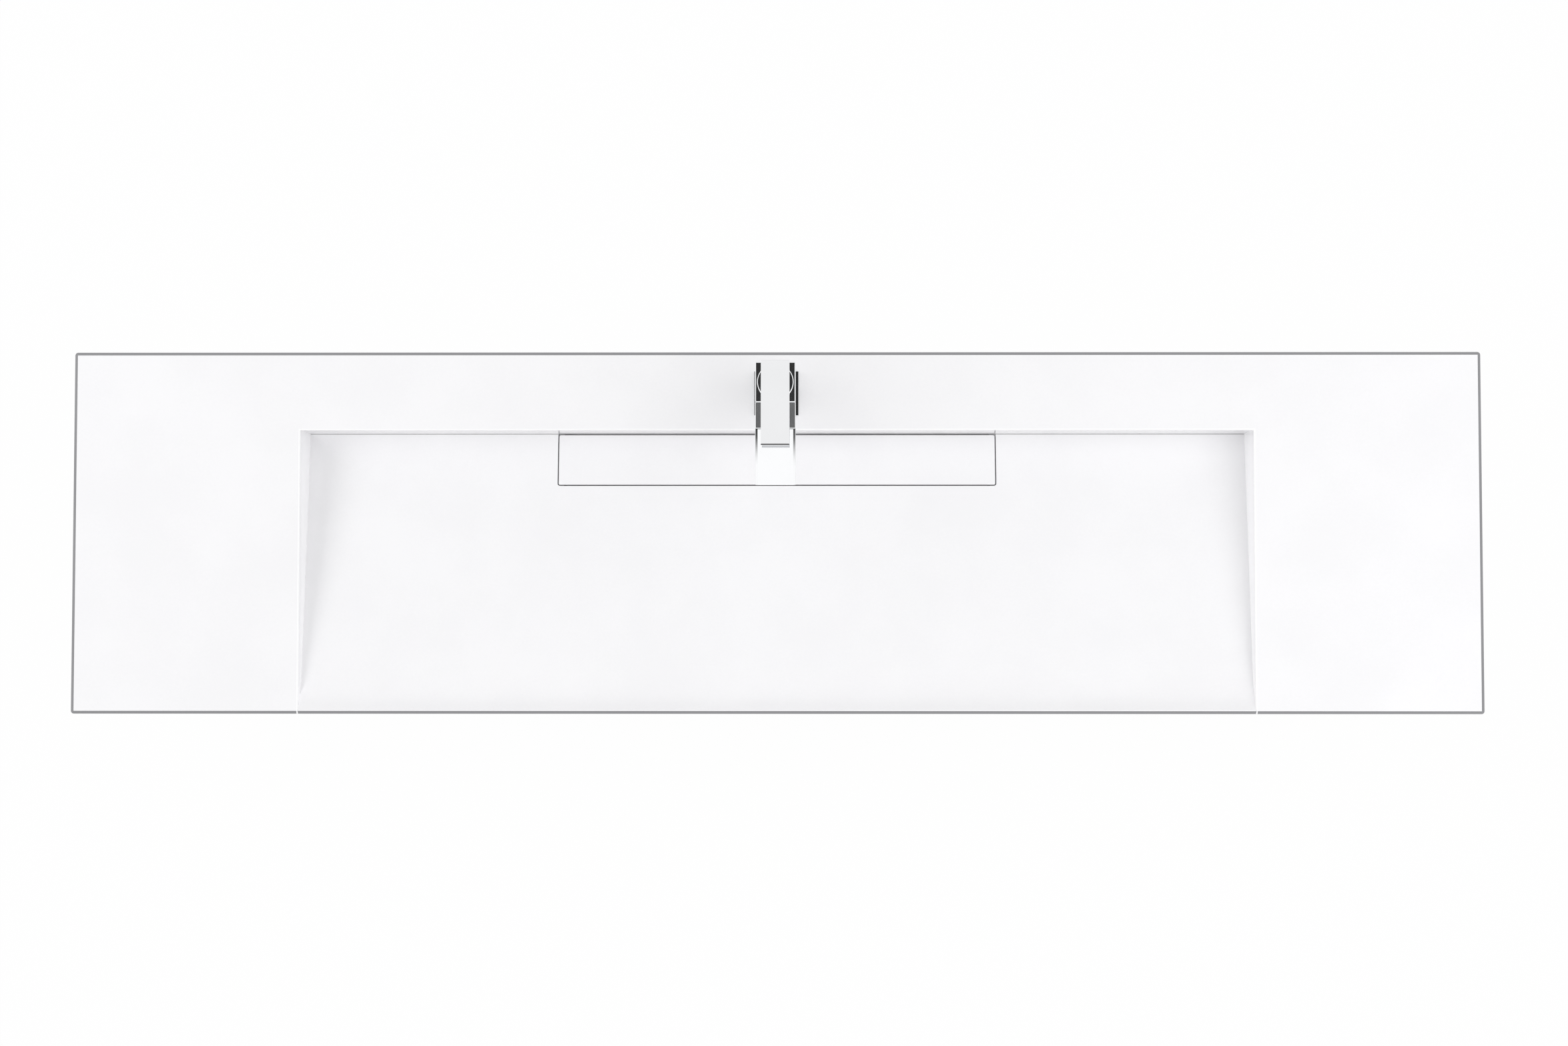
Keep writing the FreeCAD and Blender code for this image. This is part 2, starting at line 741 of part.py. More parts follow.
def faucet_column():
    body = new_body("faucet_body")
    sketch = new_sketch(body, "XY_Plane", "body_foot")
    square(sketch, "body_half")
    pad(body, sketch, "body_height - body_foot")
    top = number("body_height")
    ease(body, "Chamfer", {"Size": "body_bevel"},
         edge_names(body, lambda box: upright(box) or at_level(box, top)))
    bore, mouth = "cartridge_radius + ring_gap", "bonnet_skirt_radius + thread_gap"
    sketch = new_sketch(body, "XZ_Plane")
    polygon(sketch, [
        ("0", "cavity_floor"), (bore, "cavity_floor"), (bore, "body_height - bonnet_depth"),
        (mouth, "body_height - bonnet_depth"), (mouth, "body_height + overrun"),
        ("0", "body_height + overrun"),
    ])
    revolve(body, sketch, "Groove")
    sketch = new_sketch(body, "XY_Plane", "cavity_floor")
    circle(sketch, "outlet_radius", v="-outlet_offset")
    pocket(body, sketch, "outlet_land + outlet_height")
    sketch = new_sketch(body, "XZ_Plane", "outlet_back")
    rectangle(sketch, ("-outlet_width / 2", "cavity_floor - outlet_land - outlet_height"),
              ("outlet_width / 2", "cavity_floor - outlet_land"))
    pocket(body, sketch, reverse=True)
    passages = new_sketch(body, "XY_Plane", "cavity_floor")
    sockets = new_sketch(body, "XY_Plane", "body_foot")
    for spot in inlet_places():
        circle(passages, "inlet_passage_radius", *spot)
        circle(sockets, "inlet_neck_radius + thread_gap", *spot)
    pocket(body, passages)
    pocket(body, sockets, "inlet_engage", reverse=True)
    sketch = new_sketch(body, "XY_Plane", "body_foot")
    circle(sketch, "stud_radius + thread_gap", v="stud_offset")
    pocket(body, sketch, "stud_engage", reverse=True)
    on_deck(body)


def faucet_spout():
    spout = side_panel("faucet_spout", [
        ("-body_half", "spout_top - spout_root_depth"), ("-body_half", "spout_top"),
        ("-spout_tip", "spout_top"), ("-spout_tip", "spout_top - spout_tip_depth"),
    ], "body_side")
    root = -number("body_half")
    ease(spout, "Chamfer", {"Size": "spout_bevel"},
         edge_names(spout, lambda box: box.YMin < root - CLOSE))
    chamber_end = "-body_half - chamber_length"
    channel_fall = "(channel_tip_depth - channel_rear_depth) / (spout_reach - chamber_length)"
    sketch = new_sketch(spout, "YZ_Plane")
    polygon(sketch, [
        ("-body_half", "spout_top + overrun"), ("-body_half", "spout_top - chamber_depth"),
        (chamber_end, "spout_top - chamber_depth"), (chamber_end, "spout_top - channel_rear_depth"),
        ("-spout_tip - overrun", f"spout_top - channel_tip_depth - overrun * {channel_fall}"),
        ("-spout_tip - overrun", "spout_top + overrun"),
    ])
    pocket(spout, sketch, "body_side - 2 * spout_wall", midplane=True)
    lid = side_panel("spout_lid", [
        ("-body_half", "spout_top"), ("-body_half", "spout_top + lid_rear_thick"),
        ("-body_half - lid_length", "spout_top + lid_front_thick"), ("-body_half - lid_length", "spout_top"),
    ], "body_side")
    ease(lid, "Chamfer", {"Size": "lid_bevel"}, face_names(lid, faces_up))
    on_deck(spout)
    on_deck(lid)


def bonnet():
    top = "body_height + bonnet_thick"
    cap = turned("bonnet_cap", [
        ("bonnet_bore_radius", "body_height - bonnet_depth"),
        ("bonnet_skirt_radius", "body_height - bonnet_depth"), ("bonnet_skirt_radius", "body_height"),
        ("bonnet_radius", "body_height"), ("bonnet_radius", f"{top} - bonnet_bevel"),
        ("bonnet_radius - bonnet_bevel", top), ("bonnet_bore_radius", top),
    ], "faucet_line")
    ball(cap, "Additive", "dome_radius", "pivot_level", half=True)
    ball(cap, "Subtractive", "dome_radius - dome_wall", "pivot_level", half=True)
    sketch = new_sketch(cap, "XY_Plane", "pivot_level")
    circle(sketch, "dome_opening")
    pocket(cap, sketch, reverse=True)
    on_deck(cap)


def cartridge():
    housing = turned("cartridge_body", [
        ("0", "cartridge_bottom"), ("cartridge_radius", "cartridge_bottom"),
        ("cartridge_radius", "body_height - bonnet_depth"), ("cartridge_bore", "body_height - bonnet_depth"),
        ("cartridge_bore", "cartridge_inside"), ("0", "cartridge_inside"),
    ], "faucet_line")
    ports(housing)
    on_deck(housing)
    for label, radius, thick, level in (
        ("cartridge_seal", "cartridge_radius - ring_gap", "cartridge_seal_thick", "cavity_floor"),
        ("fixed_disc", "cartridge_bore - ring_gap", "disc_thick", "cartridge_inside"),
    ):
        disc = new_body(label)
        sketch = new_sketch(disc, "XY_Plane", level)
        circle(sketch, radius)
        pad(disc, sketch, thick)
        ports(disc)
        on_deck(disc)
    moving = new_body("moving_disc")
    sketch = new_sketch(moving, "XY_Plane", "disc_top - disc_thick")
    circle(sketch, "disc_radius", v="disc_travel / 2")
    pad(moving, sketch, "disc_thick")
    sketch = new_sketch(moving, "XY_Plane", "disc_top - disc_thick")
    circle(sketch, "disc_port_radius", v="disc_travel / 2")
    pocket(moving, sketch, "disc_port_depth", reverse=True)
    carrier = new_body("disc_carrier")
    sketch = new_sketch(carrier, "XY_Plane", "disc_top")
    circle(sketch, "disc_radius", v="disc_travel / 2")
    circle(sketch, "stem_ball_radius + slide_gap")
    pad(carrier, sketch, "carrier_thick")
    on_deck(moving)
    on_deck(carrier)


def pivot_hole(body):
    sketch = new_sketch(body, "YZ_Plane")
    circle(sketch, "pivot_pin_radius + pin_gap", v="pivot_level")
    pocket(body, sketch, midplane=True)


def stem():
    guide = new_body("stem_guide")
    for radius, low, high in (
        ("cartridge_bore - slide_gap", "guide_top - guide_thick", "guide_top"),
        ("guide_neck_radius", "guide_top", "body_height + guide_neck_rise"),
    ):
        sketch = new_sketch(guide, "XY_Plane", low)
        circle(sketch, radius)
        pad(guide, sketch, f"{high} - ({low})")
    sketch = new_sketch(guide, "XY_Plane")
    cheek = "stem_boss_radius + slide_gap"
    rectangle(sketch, (f"-({cheek})", "-guide_slot_length / 2"), (cheek, "guide_slot_length / 2"))
    pocket(guide, sketch, midplane=True)
    pivot_hole(guide)
    pin = new_body("stem_pin")
    sketch = new_sketch(pin, "YZ_Plane")
    circle(sketch, "pivot_pin_radius", v="pivot_level")
    pad(pin, sketch, "2 * (guide_neck_radius - pivot_pin_inset)", midplane=True)
    boss_top = "body_height + stem_boss_rise"
    boss_foot = "pivot_level - stem_boss_radius"
    rod = turned("lever_stem", [
        ("0", "ball_level"), ("stem_shank_radius", "ball_level"), ("stem_shank_radius", boss_foot),
        ("stem_boss_radius", boss_foot), ("stem_boss_radius", boss_top), ("0", boss_top),
    ], "faucet_line")
    ball(rod, "Additive", "stem_ball_radius", "ball_level")
    sketch = new_sketch(rod, "XY_Plane", boss_top)
    square(sketch, "stem_side / 2")
    pad(rod, sketch, "stem_rise - stem_boss_rise")
    pivot_hole(rod)
    for piece in (guide, pin, rod):
        on_deck(piece)


def lever():
    rear, front = "body_height + lever_lift", "body_height + lever_lift + lever_rise"
    handle = side_panel("lever_handle", [
        ("lever_rear", rear), ("lever_rear", f"{rear} + lever_thick"),
        ("lever_nose - lever_reach", f"{front} + lever_thick - lever_nose * lever_slope"),
        ("-lever_reach", f"{front} + lever_thick - nose_drop"), ("-lever_reach", front),
    ], "lever_width")
    ease(handle, "Chamfer", {"Size": "lever_bevel"}, face_names(handle, faces_up))
    sketch = new_sketch(handle, "XY_Plane", "body_height + hub_lift")
    circle(sketch, "hub_radius")
    pad(handle, sketch, "lever_lift - hub_lift + lever_thick / 2")
    ball(handle, "Subtractive", "dome_radius + hub_gap", "pivot_level", half=True)
    sketch = new_sketch(handle, "XY_Plane", "body_height + hub_lift")
    square(sketch, "stem_side / 2 + thread_gap")
    pocket(handle, sketch, "stem_rise - hub_lift + slide_gap", reverse=True)
    sketch = new_sketch(handle, "XZ_Plane")
    circle(sketch, "grub_radius + thread_gap", v="body_height + grub_height")
    pocket(handle, sketch)
    grub = cross_pin("handle_screw", "stem_side / 2", "grub_length")
    sketch = new_sketch(grub, "XZ_Plane", "-(stem_side / 2 + grub_length)")
    circle(sketch, "grub_key_radius", v="body_height + grub_height")
    pocket(grub, sketch, "grub_key_depth", reverse=True)
    cross_pin("screw_plug", "hub_radius - slide_gap - plug_length", "plug_length")
    on_deck(handle)


def cross_pin(label, start, length):
    """A round piece in the hub's screw hole, from a distance behind the stem's axis, backwards."""
    body = new_body(label)
    sketch = new_sketch(body, "XZ_Plane", f"-({start})")
    circle(sketch, "grub_radius", v="body_height + grub_height")
    pad(body, sketch, length, reverse=True)
    return on_deck(body)


def horseshoe(label, thick, top):
    body = new_body(label)
    sketch = new_sketch(body, "XY_Plane", f"{top} - {thick}")
    circle(sketch, "horseshoe_radius")
    circle(sketch, "stud_radius + ring_gap", v="stud_offset")
    pad(body, sketch, thick)
    sketch = new_sketch(body, "XY_Plane")
    rectangle(sketch, ("-horseshoe_slot / 2", "-horseshoe_radius - overrun"),
              ("horseshoe_slot / 2", "horseshoe_slot_end"))
    pocket(body, sketch, midplane=True)
    on_deck(body)


def faucet_fixing():
    horseshoe("horseshoe_gasket", "horseshoe_gasket_thick", "horseshoe_top")
    horseshoe("horseshoe_washer", "horseshoe_washer_thick", "washer_top")
    foot = "nut_top - nut_thick"
    hex_nut("stud_nut", "nut_radius", "stud_radius + thread_gap", "nut_thick",
            ("0", "faucet_line + stud_offset", f"top_height + {foot}"))
    stud = doc.addObject("Part::Cylinder", "mounting_stud")
    bind(stud, "Radius", "stud_radius")
    bind(stud, "Height", f"body_foot + stud_engage + stud_spare - ({foot})")
    move(stud, y="faucet_line + stud_offset", z=f"top_height + {foot} - stud_spare")
    pieces.append(stud)
    inner, foot = "inlet_neck_radius - inlet_wall", "-inlet_drop"
    head = "body_foot + inlet_engage"
    for label, (x, _) in zip(("hot_inlet_tube", "cold_inlet_tube"), inlet_places()):
        tube = turned(label, [
            (inner, foot), ("inlet_tube_radius", foot),
            ("inlet_tube_radius", f"{foot} + inlet_end_length"),
            ("inlet_neck_radius", f"{foot} + inlet_end_length"), ("inlet_neck_radius", head), (inner, head),
        ], "faucet_line")
        move(tube, x, "faucet_line", "top_height")


def write_parts():
    doc.recompute()
    for thing in doc.Objects:
        if {"Invalid", "Error"} & set(thing.State):
            raise RuntimeError(f"{thing.Label} failed: {thing.State}")
    for piece in pieces:
        if piece.Shape.isNull() or not piece.Shape.isValid():
            raise RuntimeError(f"{piece.Label} has no valid shape")
    os.makedirs("parts", exist_ok=True)
    for piece in pieces:
        piece.Shape.exportStep(f"parts/{piece.Label}.step")
        print(piece.Label, len(piece.Shape.Solids), round(piece.Shape.Volume))


fill_sheets()
for make in (deck_panel, aprons, basin_ramp, basin_walls, trough, drain_cover, drain_fitting, timber,
             faucet_foot, faucet_column, faucet_spout, bonnet, cartridge, stem, lever, faucet_fixing):
    make()
write_parts()
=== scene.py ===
import math

import bmesh
import bpy
from bpy.props import FloatProperty, FloatVectorProperty, IntProperty, PointerProperty
from bpy.types import Operator, Panel, PropertyGroup
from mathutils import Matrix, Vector


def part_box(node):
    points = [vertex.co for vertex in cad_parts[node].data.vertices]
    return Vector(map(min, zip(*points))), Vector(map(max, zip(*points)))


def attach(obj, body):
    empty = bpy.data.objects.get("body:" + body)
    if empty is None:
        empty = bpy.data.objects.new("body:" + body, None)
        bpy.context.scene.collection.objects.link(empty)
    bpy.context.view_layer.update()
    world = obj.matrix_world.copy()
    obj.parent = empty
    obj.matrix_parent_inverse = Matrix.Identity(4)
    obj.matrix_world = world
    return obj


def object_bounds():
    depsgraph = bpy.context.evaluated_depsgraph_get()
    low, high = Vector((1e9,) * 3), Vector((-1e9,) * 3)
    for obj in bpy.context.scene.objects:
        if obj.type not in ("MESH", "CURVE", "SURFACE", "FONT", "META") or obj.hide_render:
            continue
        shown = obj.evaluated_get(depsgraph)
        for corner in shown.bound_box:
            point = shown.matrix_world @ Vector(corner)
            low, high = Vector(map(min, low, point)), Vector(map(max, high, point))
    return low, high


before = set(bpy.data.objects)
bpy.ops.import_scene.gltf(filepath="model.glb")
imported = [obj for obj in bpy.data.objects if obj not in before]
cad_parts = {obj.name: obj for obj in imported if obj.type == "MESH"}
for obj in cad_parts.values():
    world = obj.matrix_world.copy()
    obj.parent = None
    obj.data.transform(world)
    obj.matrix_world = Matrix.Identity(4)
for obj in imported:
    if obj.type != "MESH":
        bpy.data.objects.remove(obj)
cad_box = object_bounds()

bl_info = {
    "name": "Ramp Basin Vanity Top",
    "version": (1, 0, 0),
    "blender": (4, 5, 0),
    "location": "View3D > Sidebar > Vanity",
    "description": "Finishes, glue beads, threads and studio for a vanity top with a ramp basin",
    "category": "Object",
}

# Places that the finishes and beads are set out from, in metres
DECK_LOW, DECK_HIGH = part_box("deck_panel")
BACK_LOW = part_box("back_apron")[0]
SIDE_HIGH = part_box("left_apron")[1]
WALL_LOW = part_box("basin_left_wall")[0]
REAR_LOW, REAR_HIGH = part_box("basin_back_wall")
RAMP_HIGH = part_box("basin_ramp")[1]
RIB_LOW, RIB_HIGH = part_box("left_deck_rib")
PROP_LOW, PROP_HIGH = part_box("left_ramp_rib")
KEEL_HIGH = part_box("middle_ramp_rib")[1]
TROUGH_LOW, TROUGH_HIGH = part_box("trough_front_wall")
STUD_LOW, STUD_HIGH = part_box("mounting_stud")
NUT_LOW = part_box("stud_nut")[0]
DRAIN_LOW, DRAIN_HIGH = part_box("drain_body")
LOCK_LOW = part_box("drain_locknut")[0]
SPOUT_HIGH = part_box("faucet_spout")[1]
LID_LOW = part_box("spout_lid")[0]
COVE_RUN = 0.038
DOWN = (0.0, 0.0, -1.0)
WHITE = (1.0, 1.0, 1.0, 1.0)

# How softly a mask starts and stops, in metres: on the sheet, in the spout and at the spout's mouth
SOFT, SKIN, MOUTH = 0.0002, 0.0004, 0.008

# The shared effects: how fine each layer is, how much of it shows, and the part of its noise that counts
FLECK_FINE, FLECK_SHARE, CLOUD_RANGE = 37.0, 0.3, (0.34, 0.66)
ALONG_STRETCH, ALONG_FINE = (1.0, 14.0, 6.0), 16.0
ACROSS_STRETCH, ACROSS_FINE = (12.0, 1.0, 9.0), 13.0
HAZE_SHARE, MARK_SHARE, MARK_DEPTH = 0.75, 0.35, 0.4
HAZE_RANGE, MARK_RANGE = (0.2, 0.8), (0.58, 0.78)
WOBBLE_FINE, WOBBLE = 90.0, 1.6
STAIN_FINE, RING_SHARE, RING_RANGE = 160.0, 0.35, (0.15, 0.85)
DRIFT_FINE, DRIFT_ACROSS = 0.25, 0.6
FIGURE_RANGE, FIGURE_SHARE = (0.38, 0.70), 0.75
PORE_FINE, PORE_RANGE, PORE_SHARE = 9.0, (0.55, 0.75), 0.25

# How far a finish's roughness goes below and above its setting
SHEET_SPREAD, CHROME_SPREAD, TURNED_SPREAD = (0.8, 1.25), (0.6, 1.6), (0.7, 1.4)

# A bead's waves in radians per metre, then its size at the ends, its taper in legs, and its ring
LONG_WAVE, SHORT_WAVE, SHORT_SHARE, SHORT_PHASE = 61.0, 147.0, 0.6, 2.3
SKEW_WAVE, SKEW_SHARE, SKEW_PHASE = 33.0, 0.2, 1.7
BEAD_END, BEAD_TAPER, BEAD_SINK, BEAD_FACES = 0.35, 3.0, 0.0001, 5

# A thread's ridge: half its foot in pitches, how deep that is sunk in heights, its run-out in turns
RIDGE_HALF, RIDGE_SINK, RIDGE_FADE = 0.42, 0.15, 0.4

# The sky's flags: the slopes from upright where their edges start and end, and how dark they are
FLAG_SIDE, FRONT_SIDE, LOWEST_RISE = (0.05, 0.065), (0.30, 0.40), 0.02
DARK_FLAG, DARK_SHARE = (0.066, 0.080, 0.130, 0.150), 0.965
GREY_FLAG, GREY_SHARE = (-0.090, -0.084, -0.058, -0.050), 0.865
FRONT_FLAG, FRONT_SHARE = (-1.50, -1.30, -0.95, -0.80), 0.92

# The sky's dimmer band and its bright crown: the heights of their edges, and their strengths
WALL_BAND, BAND_SHARE = (0.16, 0.28, 0.45, 0.70), 0.55
CROWN, CROWN_LIGHT = (0.983, 0.9975), (1.04, 1.185)

# Width of the camera's film, in millimetres
FILM_WIDTH = 36.0


# ---------------------------------------------------------------- settings

def colour(name, words, default):
    return FloatVectorProperty(
        name=name, description=words, subtype="COLOR", size=3, min=0.0, max=1.0, default=default)


def length(name, words, default):
    return FloatProperty(
        name=name, description=words, subtype="DISTANCE", unit="LENGTH", min=0.0, default=default)


def spot(name, words, default):
    return FloatVectorProperty(
        name=name, description=words, subtype="TRANSLATION", unit="LENGTH", size=3, default=default)


def share(name, words, default):
    return FloatProperty(name=name, description=words, subtype="FACTOR", min=0.0, max=1.0, default=default)


def watts(name, words, default):
    return FloatProperty(name=name, description=words, unit="POWER", min=0.0, default=default)


class VANITY_PG_sheet(PropertyGroup):
    """The white sheet that the deck, basin and cover are bonded from"""
    pale: colour("Pale", "Lightest tone of the sheet", (0.905, 0.902, 0.915))
    deep: colour("Deep", "Darkest tone of the faint clouding", (0.882, 0.879, 0.893))
    # Painted shade: a grey band on the deck's eased edge that stands in for how that edge shades
    arris_shade: colour("Arris", "Tone of the eased edge round the deck", (0.265, 0.265, 0.275))
    # Painted highlight: a paler tone on the basin's rounded edge
    rim_highlight: colour("Rim", "Tone of the rounded rim of the basin", (0.975, 0.973, 0.98))
    # A bonded hairline seam with painted crease shade where the ramp meets its back wall
    joint: colour("Joint", "Tone of the hairline where the ramp meets its walls", (0.54, 0.54, 0.545))
    polished: share("Polished", "Roughness of the polished faces", 0.14)
    sanded: share("Sanded", "Roughness of the sanded faces underneath", 0.62)
    arris_width: length("Arris width", "Width of the eased edge, seen from above", 0.0039)
    arris_height: length("Arris height", "Height of the eased edge", 0.0012)
    rim_width: length("Rim width", "Width of the rounded rim of the basin", 0.0018)
    joint_width: length("Joint width", "Width of the hairline at the ramp's back edge", 0.0012)


class VANITY_PG_metals(PropertyGroup):
    """The faucet's chrome, and the steel and brass of the fittings"""
    chrome: colour("Chrome", "Colour of the polished plating", (0.825, 0.83, 0.84))
    steel: colour("Steel", "Colour of the drawn steel", (0.60, 0.60, 0.59))
    brass: colour("Brass", "Colour of the turned brass", (0.72, 0.52, 0.25))
    plating: share("Plating", "Roughness of the chrome", 0.035)
    drawn: share("Drawn", "Roughness of the steel", 0.30)
    line_pitch: length("Line pitch", "Spacing of the lines left by drawing and turning", 0.0006)
    casting: colour("Casting", "Colour of the dull casting inside the spout", (0.40, 0.395, 0.385))
    cast: share("Cast", "Roughness of that casting", 0.55)
    spout_wall: length("Spout wall", "Thickness of the spout's cheeks", 0.003)
    chamber: length("Chamber", "Depth of the water chamber in the spout", 0.032)


class VANITY_PG_timber(PropertyGroup):
    """The plywood ribs and pine blocks under the sheet"""
    veneer: colour("Veneer", "Pale tone of the birch", (0.58, 0.42, 0.25))
    grain: colour("Grain", "Dark tone of the grain", (0.36, 0.22, 0.11))
    pine: colour("Pine", "Pale tone of the blocks", (0.66, 0.47, 0.26))
    ply: length("Ply", "Thickness of one veneer", 0.0026)


class VANITY_PG_seals(PropertyGroup):
    """The rubber, acetal and ceramic of the seals and cartridge"""
    rubber: colour("Rubber", "Colour of the gaskets and pads", (0.028, 0.028, 0.03))
    acetal: colour("Acetal", "Colour of the moulded pieces", (0.55, 0.56, 0.55))
    ceramic: colour("Ceramic", "Colour of the valve discs", (0.80, 0.78, 0.73))


class VANITY_PG_beads(PropertyGroup):
    """The beads of adhesive in the corners under the sheet"""
    seam: colour("Seam", "Colour of the sheet's own adhesive", (0.80, 0.80, 0.80))
    tack: colour("Tack", "Colour of the adhesive along the timber", (0.62, 0.52, 0.36))
    leg: length("Leg", "Width of a bead on each face", 0.0048)
    wander: share("Wander", "How much a bead swells and narrows", 0.22)
    step: length("Step", "Spacing of the rings along a bead", 0.012)


class VANITY_PG_threads(PropertyGroup):
    """The threads on the stud and on the drain's shank"""
    stud_pitch: length("Stud pitch", "Pitch of the stud's thread", 0.00125)
    stud_depth: length("Stud depth", "Height of the stud's thread", 0.00035)
    shank_radius: length("Shank radius", "Radius of the drain's shank", 0.021)
    shank_pitch: length("Shank pitch", "Pitch of the drain's thread", 0.0022)
    shank_depth: length("Shank depth", "Height of the drain's thread", 0.0008)
    facets: IntProperty(name="Facets", description="Rings in one turn", min=12, max=96, default=40)


class VANITY_PG_stage(PropertyGroup):
    """The floor, lamps, sky and camera"""
    camera: spot("Camera", "Where the camera stands", (0.0262, -0.0967, 2.9517))
    aim: FloatVectorProperty(
        name="Aim", description="How the camera is turned from straight down", subtype="EULER", size=3,
        default=(math.radians(2.211), math.radians(0.332), math.radians(0.007)))
    lens: FloatProperty(name="Lens", description="Focal length in millimetres", min=1.0, default=50.0)
    floor_drop: length("Floor drop", "Gap between the lowest piece and the floor", 0.001)
    floor_size: length("Floor size", "Side of the floor", 16.0)
    floor: colour("Floor", "Colour of the floor", (0.75, 0.75, 0.75))
    floor_glow: share("Floor glow", "How far the floor shows as plain white", 0.98)
    left_power: watts("Left lamp", "Power of the left lamp", 47.5)
    left_place: spot("Left place", "Where the left lamp hangs", (-3.05, 0.8, 2.4))
    left_width: length("Left width", "Width of the left lamp", 3.4)
    left_height: length("Left height", "Height of the left lamp", 1.9)
    right_power: watts("Right lamp", "Power of the right lamp", 36.5)
    right_place: spot("Right place", "Where the right lamp hangs", (2.0, -0.48, 2.52))
    right_width: length("Right width", "Width of the right lamp", 3.4)
    right_height: length("Right height", "Height of the right lamp", 2.5)
    lamp_reach: length("Lamp reach", "How far to its own side of the middle each lamp looks", 0.3)
    basin_power: watts("Basin lamp", "Power of the small lamp for the basin's side walls", 1.7)
    basin_place: spot("Basin place", "Where the basin's lamp hangs", (0.0, -0.4, 0.5))
    basin_width: length("Basin width", "Width of the basin's lamp", 0.3)
    fill: share("Fill", "Strength of the even light from the sky", 0.46)
    side_glow: FloatProperty(
        name="Side glow", description="Strength of the soft light that the sky adds from both sides",
        min=0.0, default=0.85)


# ---------------------------------------------------------------- node trees

def rgba(tone):
    return (*tone[:3], 1.0)


def darker(tone, portion):
    return [part * portion for part in tone]


class Bench:
    """Puts nodes into one tree, in rows from left to right, and joins them"""

    def __init__(self, tree):
        self.tree = tree

    def put(self, kind, inputs=(), **settings):
        node = self.tree.nodes.new(kind)
        for key, value in settings.items():
            setattr(node, key, value)
        for key, value in dict(inputs).items():
            self.feed(node.inputs[key], value)
        place = len(self.tree.nodes)
        node.location = (place % 6 * 240, -(place // 6) * 300)
        return node

    def feed(self, socket, value):
        if isinstance(value, bpy.types.NodeSocket):
            self.tree.links.new(value, socket)
        else:
            socket.default_value = value

    def group(self, tree, **inputs):
        """A shared group, with its inputs fed"""
        return self.put("ShaderNodeGroup", inputs, node_tree=tree).outputs

    def work(self, operation, first, second=0.0):
        return self.put("ShaderNodeMath", {0: first, 1: second}, operation=operation).outputs[0]

    def times(self, first, *others):
        for other in others:
            first = self.work("MULTIPLY", first, other)
        return first

    def ramp(self, value, start, end, low=0.0, high=1.0):
        """A soft step from low to high"""
        return self.put("ShaderNodeMapRange", {
            "Value": value, "From Min": start, "From Max": end, "To Min": low, "To Max": high,
        }, interpolation_type="SMOOTHSTEP").outputs["Result"]

    def fall(self, value, start, end):
        """A soft step down from one to nothing"""
        return self.ramp(value, start, end, 1.0, 0.0)

    def window(self, value, edges):
        """One between two soft edges, and nothing outside them"""
        return self.times(self.ramp(value, *edges[:2]), self.fall(value, *edges[2:]))

    def blend(self, value, low, high, start=0.0, end=1.0):
        """A straight run from low to high"""
        return self.put("ShaderNodeMapRange", {
            "Value": value, "From Min": start, "From Max": end, "To Min": low, "To Max": high,
        }).outputs["Result"]

    def tint(self, portion, first, second):
        return self.put("ShaderNodeMix", {0: portion, 6: first, 7: second}, data_type="RGBA").outputs[2]

    def noise(self, vector, scale, detail=2.0, rough=0.5):
        return self.put("ShaderNodeTexNoise", {
            "Vector": vector, "Scale": scale, "Detail": detail, "Roughness": rough}).outputs["Fac"]

    def stretch(self, vector, scale):
        return self.put("ShaderNodeMapping", {"Vector": vector, "Scale": scale}).outputs["Vector"]

    def coords(self):
        return self.put("ShaderNodeTexCoord").outputs["Object"]

    def facing(self):
        return self.axes(self.put("ShaderNodeNewGeometry").outputs["Normal"])

    def axes(self, vector):
        return self.put("ShaderNodeSeparateXYZ", {"Vector": vector}).outputs

    def bump(self, height, strength, distance):
        return self.put("ShaderNodeBump", {
            "Height": height, "Strength": strength, "Distance": distance}).outputs["Normal"]


def new_group(name, inputs, outputs):
    """A node group with named sockets, and the bench, inlets and outlets to build it with"""
    tree = bpy.data.node_groups.new(name, "ShaderNodeTree")
    for kind, label in inputs:
        tree.interface.new_socket(label, in_out="INPUT", socket_type=kind)
    for kind, label in outputs:
        tree.interface.new_socket(label, in_out="OUTPUT", socket_type=kind)
    bench = Bench(tree)
    return bench, bench.put("NodeGroupInput").outputs, bench.put("NodeGroupOutput").inputs


VALUE, TONE, ARROW = "NodeSocketFloat", "NodeSocketColor", "NodeSocketVector"


def cloud_group():
    """Slow clouding with a fine fleck over it, between two tones"""
    name = "Clouded tone"
    if name in bpy.data.node_groups:
        return bpy.data.node_groups[name]
    bench, inlet, outlet = new_group(
        name, [(ARROW, "Vector"), (VALUE, "Scale"), (TONE, "Pale"), (TONE, "Deep")],
        [(TONE, "Colour"), (VALUE, "Cloud")])
    slow = bench.noise(inlet["Vector"], inlet["Scale"], detail=3.0, rough=0.55)
    fine = bench.noise(inlet["Vector"], bench.times(inlet["Scale"], FLECK_FINE), detail=2.0, rough=0.6)
    mixed = bench.work("ADD", bench.times(slow, 1.0 - FLECK_SHARE), bench.times(fine, FLECK_SHARE))
    cloud = bench.ramp(mixed, *CLOUD_RANGE)
    bench.feed(outlet["Colour"], bench.tint(cloud, inlet["Pale"], inlet["Deep"]))
    bench.feed(outlet["Cloud"], cloud)
    return bench.tree


